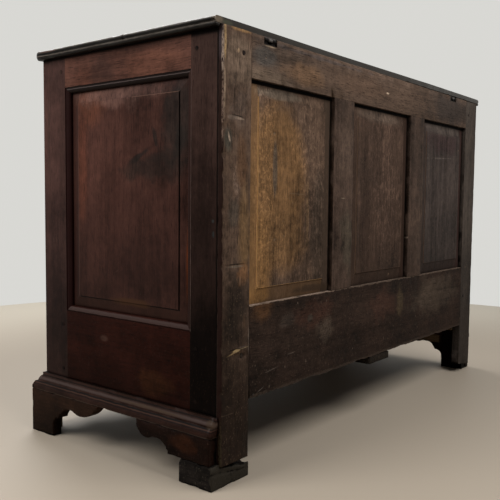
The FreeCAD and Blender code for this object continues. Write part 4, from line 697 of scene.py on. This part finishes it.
def moulding_finishes():
    base_low, base_top = (corner.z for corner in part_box("base_mouldings_end"))
    # Painted light and shade along the moulding's profile: black under its top edge and in its quirks, a painted
    # highlight on the ovolo, a reddish ledge, and a pale line along its foot.
    base = [*bands("Z", base_top, (-0.8, None, NEAR_BLACK, 0.8), (-7.5, -5.5, NEAR_BLACK, 0.8),
                   (-15, -9.8, (0.06, 0.041, 0.036), 0.85, 0.0018), (-20.5, -18.5, NEAR_BLACK, 0.9),
                   (-22.5, -21, (0.05, 0.024, 0.016), 0.7), (-25, -23.5, NEAR_BLACK, 0.8)),
            *bands("Z", base_low, (None, 1.2, (0.055, 0.04, 0.03), 0.7))]
    # Its rear end pale where it is broken and lighter there as painted highlight, and a painted gold tint along the
    # ovolo's highlight.
    rear_end = [patch((HALF + 0.008, BACK - 0.016, base_top - 0.013), (0.03, 0.012, 0.008),
                      (0.045, 0.028, 0.017), 0.7, ragged=0.4),
                patch((HALF + 0.012, 0.10, base_top - 0.0125), (0.02, 0.13, 0.0035), (0.052, 0.031, 0.018), 0.7,
                      ragged=0.3)]
    for name, along, seed, marks in (("base_moulding_front", "x", 31.0, ()),
                                     ("base_mouldings_end", "y", 33.0, rear_end)):
        polished(name, along, seed, (0.022, 0.009, 0.006), shade=(0, 1, 1), polish=0.08, stripes=base, after=marks)


def lid_finishes():
    scuffs = [patch((LID_END - 0.008, BACK - 0.006, LID_TOP - 0.004), (0.017, 0.017, 0.014),
                    (0.15, 0.115, 0.082), 0.9, ragged=0.35, flecks=1.3),
              patch((LID_END - 0.035, BACK, LID_TOP - 0.008), (0.022, 0.010, 0.009), (0.09, 0.095, 0.055), 0.7)]
    rubbed_front = [patch((LID_END, LID_FRONT + 0.05, LID_TOP - 0.003), (0.02, 0.035, 0.004), (0.065, 0.036, 0.027),
                          0.8, ragged=0.3)]
    # Painted light and shade along the lid's moulded edge: painted highlights on its upper and lower beads, painted
    # black in the quirk between them and under the edge.
    moulded = bands("Z", LID_TOP, (-3.8, -0.8, (0.105, 0.09, 0.075), 0.8), (-9.2, -5.6, NEAR_BLACK),
                    (-13, -9.8, (0.1, 0.084, 0.07), 0.8), (None, -14.2, NEAR_BLACK, 0.9))
    inside = [("X", 0.012 - LID_END, LID_END - 0.012), ("Y", LID_FRONT + 0.012, None)]
    faces = bands("Z", LID_TOP, (-0.5, None, (0.05, 0.0235, 0.016), 0.9, 0.0002, 0.0),
                  (-12.9, -11.8, (0.08, 0.052, 0.034), 0.9, 0.0002, 0.0), within=inside)
    dry_edge = bands("Y", BACK, (-9.5, None, (0.027, 0.0225, 0.0185), 0.95))
    for seed, name, stripes, marks in ((29.0, "lid_board_front", moulded + faces, rubbed_front),
                                       (30.0, "lid_board_rear", moulded + faces + dry_edge, scuffs),
                                       (34.0, "lid_strips", moulded, rubbed_front)):
        polished(name, "x", seed, (0.024, 0.0185, 0.0145), shade=(0, 1, 1), polish=0.3, wear=0.4, knocks=0.3,
                 wear_colour=(0.075, 0.058, 0.044), specks=0.4, stripes=stripes, after=marks)


def other_finishes():
    for seed, name in enumerate(("floor_boards", "floor_ledges", "side_bearers", "glue_blocks", "drawer_box_right",
                                 "drawer_box_left", "drawer_bottom_right", "drawer_bottom_left")):
        along = "x" if name.startswith(("floor_boards", "drawer_bottom")) else "y"
        dry(name, along, seed + 51.0, (0.11, 0.072, 0.042), grime=0.5)
    dry("centre_bearer", "y", 61.0, (0.014, 0.0105, 0.008))
    pegs = [*back_marks((57, 241, 24, 24, (0.085, 0.052, 0.034))),
            *end_marks(*((*place, 9, 9, NEAR_BLACK) for place in ((65, 244), (471, 249), (61, 804)))),
            *back_marks((56, 794, 9, 9, (0.02, 0.014, 0.012)), (57, 239, 12, 12, (0.16, 0.115, 0.088)))]
    polished("frame_pegs", "y", 62.0, (0.032, 0.017, 0.013), pegs, shade=(0.2, 0.7, 0.2))
    brass = metal("old brass", (0.62, 0.42, 0.17), (0.14, 0.09, 0.045))
    iron = metal("old iron", (0.09, 0.08, 0.075), (0.045, 0.025, 0.016), (0.5, 0.8))
    black_iron = metal("dirty iron", (0.010, 0.008, 0.007), (0.004, 0.003, 0.0025), (0.7, 0.9))
    for name in NODES:
        if name.startswith(("bail", "drawer_fittings", "lock_key_plate")):
            FINISHES[name] = brass
        elif name in ("hinge_leaves", "hinge_pins"):
            FINISHES[name] = black_iron
        elif name.startswith("hinge") or name in ("lock_case", "lock_keeper"):
            FINISHES[name] = iron


def finish_all():
    back_finishes()
    end_finishes("right", 0)
    end_finishes("left", 40)
    front_finishes()
    moulding_finishes()
    lid_finishes()
    other_finishes()
    for name, finish in FINISHES.items():
        for slot in NODES[name].material_slots:
            slot.link = "OBJECT"
            slot.material = finish


# ---- aged pieces

LID_SKEW = 0.0075      # how much further in the lid's rear edge lies towards the right end
AXES = {"x": Vector((1, 0, 0)), "y": Vector((0, 1, 0)), "z": Vector((0, 0, 1))}


def loose_copy(name):
    """A clean copy of a frame piece: its corners joined and its flat faces made whole."""
    bm = bmesh.new()
    bm.from_mesh(NODES[name].data)
    bmesh.ops.remove_doubles(bm, verts=bm.verts, dist=0.000002)
    bmesh.ops.dissolve_limit(bm, angle_limit=math.radians(0.4), verts=bm.verts, edges=bm.edges)
    return bm


def ease_arrises(bm, reach, segments=2, wanted=None):
    sharp = [edge for edge in bm.edges if edge.is_manifold and edge.calc_face_angle() > math.radians(28)
             and (wanted is None or wanted((edge.verts[0].co + edge.verts[1].co) / 2, edge))]
    bmesh.ops.bevel(bm, geom=sharp, offset=reach, offset_type="OFFSET", segments=segments, profile=0.5,
                    affect="EDGES", clamp_overlap=True, material=-1)


def cross_cut(bm, axis, step, low=None, high=None):
    """Cuts across a piece, so that its arrises and faces can be uneven."""
    way = AXES[axis]
    places = [vert.co.dot(way) for vert in bm.verts]
    low = min(places) if low is None else low
    high = max(places) if high is None else high
    count = max(1, round((high - low) / step))
    for index in range(1, count):
        at = way * (low + (high - low) * index / count)
        bmesh.ops.bisect_plane(bm, geom=bm.verts[:] + bm.edges[:] + bm.faces[:], dist=0.00005, plane_co=at,
                               plane_no=way)


def limited(value):
    return min(1.0, max(0.0, value))


def arris_share(vert):
    """From 0 on a flat face to 1 on an arris."""
    faces = vert.link_faces
    least = min((a.normal.dot(b.normal) for a in faces for b in faces), default=1.0)
    return limited((0.998 - least) / 0.2)


def roughen(bm, nick, wave, seed, fine=70.0, extra=None, sound=None):
    """Nicks in the arrises, and slow unevenness of the faces, always into the wood.

    extra gives more depth at a place, and sound tells the places whose arrises get no nicks.
    """
    bm.normal_update()
    moves = []
    for vert in bm.verts:
        where = vert.co + Vector((seed, seed * 1.7, -seed))
        share = 0.0 if sound and sound(vert.co) else arris_share(vert)
        hollow = max(0.0, noise.noise(where * fine) + 0.35 * noise.noise(where * fine * 2.3))
        depth = nick * share * hollow * 2 + wave * (0.5 + 0.5 * noise.noise(where * 9.0))
        if extra:
            depth += extra(vert.co)
        moves.append(vert.normal * -depth)
    for vert, move in zip(bm.verts, moves):
        vert.co += move


def aged_piece(bm, name, body="root", smooth=34):
    """The worked copy in the place of the plain piece, nowhere larger than it was."""
    low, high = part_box(name)
    for vert in bm.verts:
        vert.co = Vector(min(max(value, least), most) for value, least, most in zip(vert.co, low, high))
    mesh = bpy.data.meshes.new("aged_" + name)
    bmesh.ops.triangulate(bm, faces=[face for face in bm.faces if len(face.verts) > 4])
    bm.to_mesh(mesh)
    bm.free()
    mesh.materials.append(FINISHES[name])
    mesh.shade_smooth()
    mesh.set_sharp_from_angle(angle=math.radians(smooth))
    piece = new_object("aged_" + name, mesh)
    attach(piece, body)
    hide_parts(name)


def on_the_back(middle, edge):
    return middle.y > INNER_BACK - MM


def age(name, seed, reach, cuts, nick, wave=0.0003, fine=70.0, wanted=on_the_back, segments=2, smooth=34,
        torn=None):
    """A piece worked in the common way: arrises eased, cuts across each axis, nicks, and torn at last."""
    bm = loose_copy(name)
    ease_arrises(bm, reach, segments, wanted)
    for axis, step in cuts.items():
        cross_cut(bm, axis, step)
    roughen(bm, nick, wave, seed, fine)
    if torn:
        torn(bm)
    aged_piece(bm, name, smooth=smooth)


def age_near_stile():
    """The right stile of the back: its outer arris is worn away and splintered from top to foot."""
    bm = loose_copy("back_stile_right")
    ease_arrises(bm, 0.0035, 3, lambda middle, edge: middle.x > HALF - MM and middle.y > BACK - MM)
    ease_arrises(bm, 0.0012, 2, lambda middle, edge: middle.y > BACK - 0.003)
    cross_cut(bm, "z", 0.005)
    cross_cut(bm, "x", 0.018, NEAR_STILE_EDGE + 0.006, HALF - 0.006)
    reach, deepest = 0.008, 0.006

    def splinters(place):
        away = math.hypot(HALF - place.x, BACK - place.y)
        if away > reach:
            return 0.0
        torn = max(0.0, noise.noise(Vector((3.0, 7.0, place.z * 60))))
        return (1 - away / reach) * deepest * torn

    roughen(bm, 0.0005, 0.0003, 1.0, extra=splinters)
    aged_piece(bm, "back_stile_right")


def tear_lower_edge(bm):
    """A ragged lower edge, as the rail came from the saw."""
    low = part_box("back_bottom_rail")[0].z
    for vert in bm.verts:
        if vert.co.z < low + 0.004:
            torn = max(0.0, noise.noise(Vector((vert.co.x * 14, 2.0, 0))) + 0.1)
            small = max(0.0, noise.noise(Vector((vert.co.x * 60, 5.0, vert.co.y * 40))))
            vert.co.z += 0.006 * torn + 0.003 * small


def age_block():
    """The repair block: chipped along its top, split and worn at its corners."""
    low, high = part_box("foot_block")
    step = low.z + (high.z - low.z) * 0.87
    bm = loose_copy("foot_block")
    ease_arrises(bm, 0.003, 2)
    for axis in "xyz":
        cross_cut(bm, axis, 0.004)

    def worn(place):
        top = max(0.0, 1 - (high.z - place.z) / 0.012)
        chip = max(0.0, noise.noise(place * 45) - 0.02)
        split = abs(place.z - high.z + 0.016 + 0.006 * noise.noise(Vector((place.x * 30, place.y * 30, 0))))
        return 0.012 * top * chip + (0.0025 if split < 0.0016 and place.y > high.y - 0.002 else 0.0)

    roughen(bm, 0.003, 0.0008, 9.0, fine=55.0, extra=worn)
    for vert in bm.verts:
        torn = 1 + 0.35 * noise.noise(vert.co * 60)
        far = limited((HALF + 0.004 - vert.co.x) / 0.085)
        rear = limited((vert.co.y - high.y + 0.055) / 0.03)
        if vert.co.z > step - 0.018:
            vert.co.z -= 0.0145 * far * rear * torn
    aged_piece(bm, "foot_block")


def round_the_nose(bm):
    """The lid's mouldings worn and filled to one round nose at each front corner."""
    turn, middle, half, fade = 0.012, LID_TOP - 0.0095, 0.0095, 0.03
    for vert in bm.verts:
        side = 1 if vert.co.x > 0 else -1
        across = abs(vert.co.x) - (LID_END - turn)
        ahead = LID_FRONT + turn - vert.co.y
        reach = math.hypot(max(0.0, across), max(0.0, ahead))
        inwards = max(-across, -ahead, 0.0)
        if reach < turn - 0.0075 or inwards > fade:
            continue
        lean = min(1.0, abs(vert.co.z - middle) / half)
        wanted = turn - 0.0035 * (1 - math.sqrt(1 - lean ** 2))
        share = (1 - inwards / fade) * (wanted / reach - 1)
        if across > 0:
            vert.co.x += side * across * share
        if ahead > 0:
            vert.co.y -= ahead * share


def age_lid_piece(name, seed):
    """A board or strip of the lid: knocked along its moulded edges, its corners worn round.

    The rear edge isn't quite square: it stands further in towards the right end.
    """
    bm = loose_copy(name)

    def upright(edge):
        return abs((edge.verts[0].co - edge.verts[1].co).z) > 0.0003

    def at_an_end(middle, edge):
        return abs(middle.x) > HALF + 0.004 and upright(edge)

    if name == "lid_board_rear":
        ease_arrises(bm, 0.007, 4, lambda middle, edge: at_an_end(middle, edge) and middle.y > BACK - 0.002)
        ease_arrises(bm, 0.002, 2, lambda middle, edge: middle.y > BACK - 0.004 and middle.z > LID_TOP - 0.0005)
    elif name == "lid_board_front":
        ease_arrises(bm, 0.009, 4, lambda middle, edge: at_an_end(middle, edge) and middle.y < LID_FRONT + 0.006)
    ease_arrises(bm, 0.0009, 2, lambda middle, edge: middle.y > BACK - MM and not upright(edge))
    cross_cut(bm, "x", 0.010)
    cross_cut(bm, "y", 0.012)
    if name != "lid_board_rear":
        round_the_nose(bm)
    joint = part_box("lid_board_rear")[0].y
    roughen(bm, 0.0012, 0.0003, seed, fine=45.0, sound=lambda place: abs(place.y - joint) < 0.003)
    for vert in bm.verts:
        rear = limited(1 - (BACK - vert.co.y) / 0.06)
        right = limited((vert.co.x + 0.25) / 0.45)
        vert.co.y -= LID_SKEW * rear * right
    aged_piece(bm, name, body="lid", smooth=50)


def age_all():
    rail_cuts = {"x": 0.008, "z": 0.03}
    age_near_stile()
    age("back_top_rail", 3.0, 0.0012, rail_cuts, 0.0008)
    age("back_bottom_rail", 4.0, 0.0013, {"x": 0.007, "z": 0.03}, 0.0022, 0.0005, torn=tear_lower_edge)
    age("back_muntins", 5.0, 0.0010, {"z": 0.008, "x": 0.03}, 0.0005)
    age("back_stile_left", 2.0, 0.0015, {"z": 0.009, "x": 0.03}, 0.0022, 0.0005, 48.0)
    age_block()
    for seed, name in enumerate(("lid_board_rear", "lid_board_front", "lid_strips")):
        age_lid_piece(name, 21.0 + seed)
    age("base_mouldings_end", 11.0, 0.003, {"y": 0.010}, 0.0012, fine=50.0, segments=3, smooth=50,
        wanted=lambda middle, edge: middle.y > BACK - 0.006)
    for seed, name in enumerate(("rear_foot_right", "front_foot_right", "rear_foot_left", "front_foot_left")):
        age(name, 31.0 + seed, 0.0016, {"y": 0.006, "z": 0.008}, 0.0022, 0.0004, 60.0, wanted=None)
    age("centre_bearer", 41.0, 0.0012, rail_cuts, 0.0008)


# ---- stage, light and camera

FLOOR_RADIUS = 2.0
WALL_WHITE = (0.69, 0.685, 0.655)
ROOM_LIGHT = (0.075, 0.078, 0.082)
FLOOR_NEAR = (0.370, 0.310, 0.242)    # painted shade: the floor darker near the chest and paler away from it
FLOOR_FAR = (0.56, 0.50, 0.405)


def plain_floor():
    bm = bmesh.new()
    bmesh.ops.create_circle(bm, cap_ends=True, radius=FLOOR_RADIUS, segments=128)
    mesh = bpy.data.meshes.new("floor")
    bm.to_mesh(mesh)
    bm.free()
    floor = new_object("floor", mesh)
    made, tree, surface, place = new_material("pale floor")
    away = add(tree, "VectorMath", {0: place}, operation="LENGTH").outputs["Value"]
    # Painted shade: darker round the chest, paler towards the rim.
    shade = mixed(tree, ramp(tree, away, 0.95, 1.9), FLOOR_NEAR, FLOOR_FAR)
    tree.links.new(shade, surface["Base Color"])
    surface["Roughness"].default_value = 0.6
    mesh.materials.append(made)


def pale_surroundings():
    """Plain even light from all round, and a pale wall where the camera and reflections look."""
    world = bpy.data.worlds.new("room")
    bpy.context.scene.world = world
    world.use_nodes = True
    tree = world.node_tree
    ways = add(tree, "LightPath").outputs
    mirrored = maths(tree, "MAXIMUM", ways["Is Glossy Ray"], ways["Is Transmission Ray"])
    looking = maths(tree, "MAXIMUM", ways["Is Camera Ray"], mirrored)
    shade = mixed(tree, looking, ROOM_LIGHT, WALL_WHITE)
    tree.links.new(shade, tree.nodes["Background"].inputs["Color"])


def soft_lamp(name, place, aim, size, watts):
    data = bpy.data.lights.new(name, "AREA")
    data.shape = "RECTANGLE"
    data.size, data.size_y = size
    data.energy = watts
    lamp = new_object(name, data)
    lamp.location = place
    lamp.rotation_mode = "QUATERNION"
    lamp.rotation_quaternion = (Vector(aim) - Vector(place)).to_track_quat("-Z", "Y")


CAMERA_AZIMUTH = math.radians(128.35)
CAMERA_ELEVATION = math.radians(4.08)
CAMERA_ROLL = math.radians(0.57)
CAMERA_FROM_CORNER = Vector((0.928, 0.797, 0.527))     # from the floor under the right rear corner
CAMERA_LENS = 49.52    # for a film 36 wide


def make_camera():
    az, el, roll = CAMERA_AZIMUTH, CAMERA_ELEVATION, CAMERA_ROLL
    back = Vector((math.sin(az) * math.cos(el), -math.cos(az) * math.cos(el), math.sin(el)))
    level = Vector((math.cos(az), math.sin(az), 0))
    upright = back.cross(level)
    right = level * math.cos(roll) + upright * math.sin(roll)
    up = upright * math.cos(roll) - level * math.sin(roll)
    data = bpy.data.cameras.new("camera")
    data.lens = CAMERA_LENS
    data.sensor_width = 36
    camera = new_object("camera", data)
    turn = Matrix((right, up, back)).transposed().to_4x4()
    camera.matrix_world = Matrix.Translation(Vector((HALF, BACK, 0)) + CAMERA_FROM_CORNER) @ turn
    bpy.context.scene.camera = camera


finish_all()
age_all()
plain_floor()
pale_surroundings()
soft_lamp("behind", (0.15, 1.65, 2.3), (0.1, 0.2, 0.45), (1.8, 1.3), 56.5)
soft_lamp("beside", (2.1, -0.55, 2.1), (0.6, -0.1, 0.5), (1.3, 1.5), 51)
soft_lamp("in front", (-0.8, -1.8, 2.3), (0, 0, 0.4), (1.6, 1.6), 50)
make_camera()
bpy.context.scene.view_settings.view_transform = "Standard"
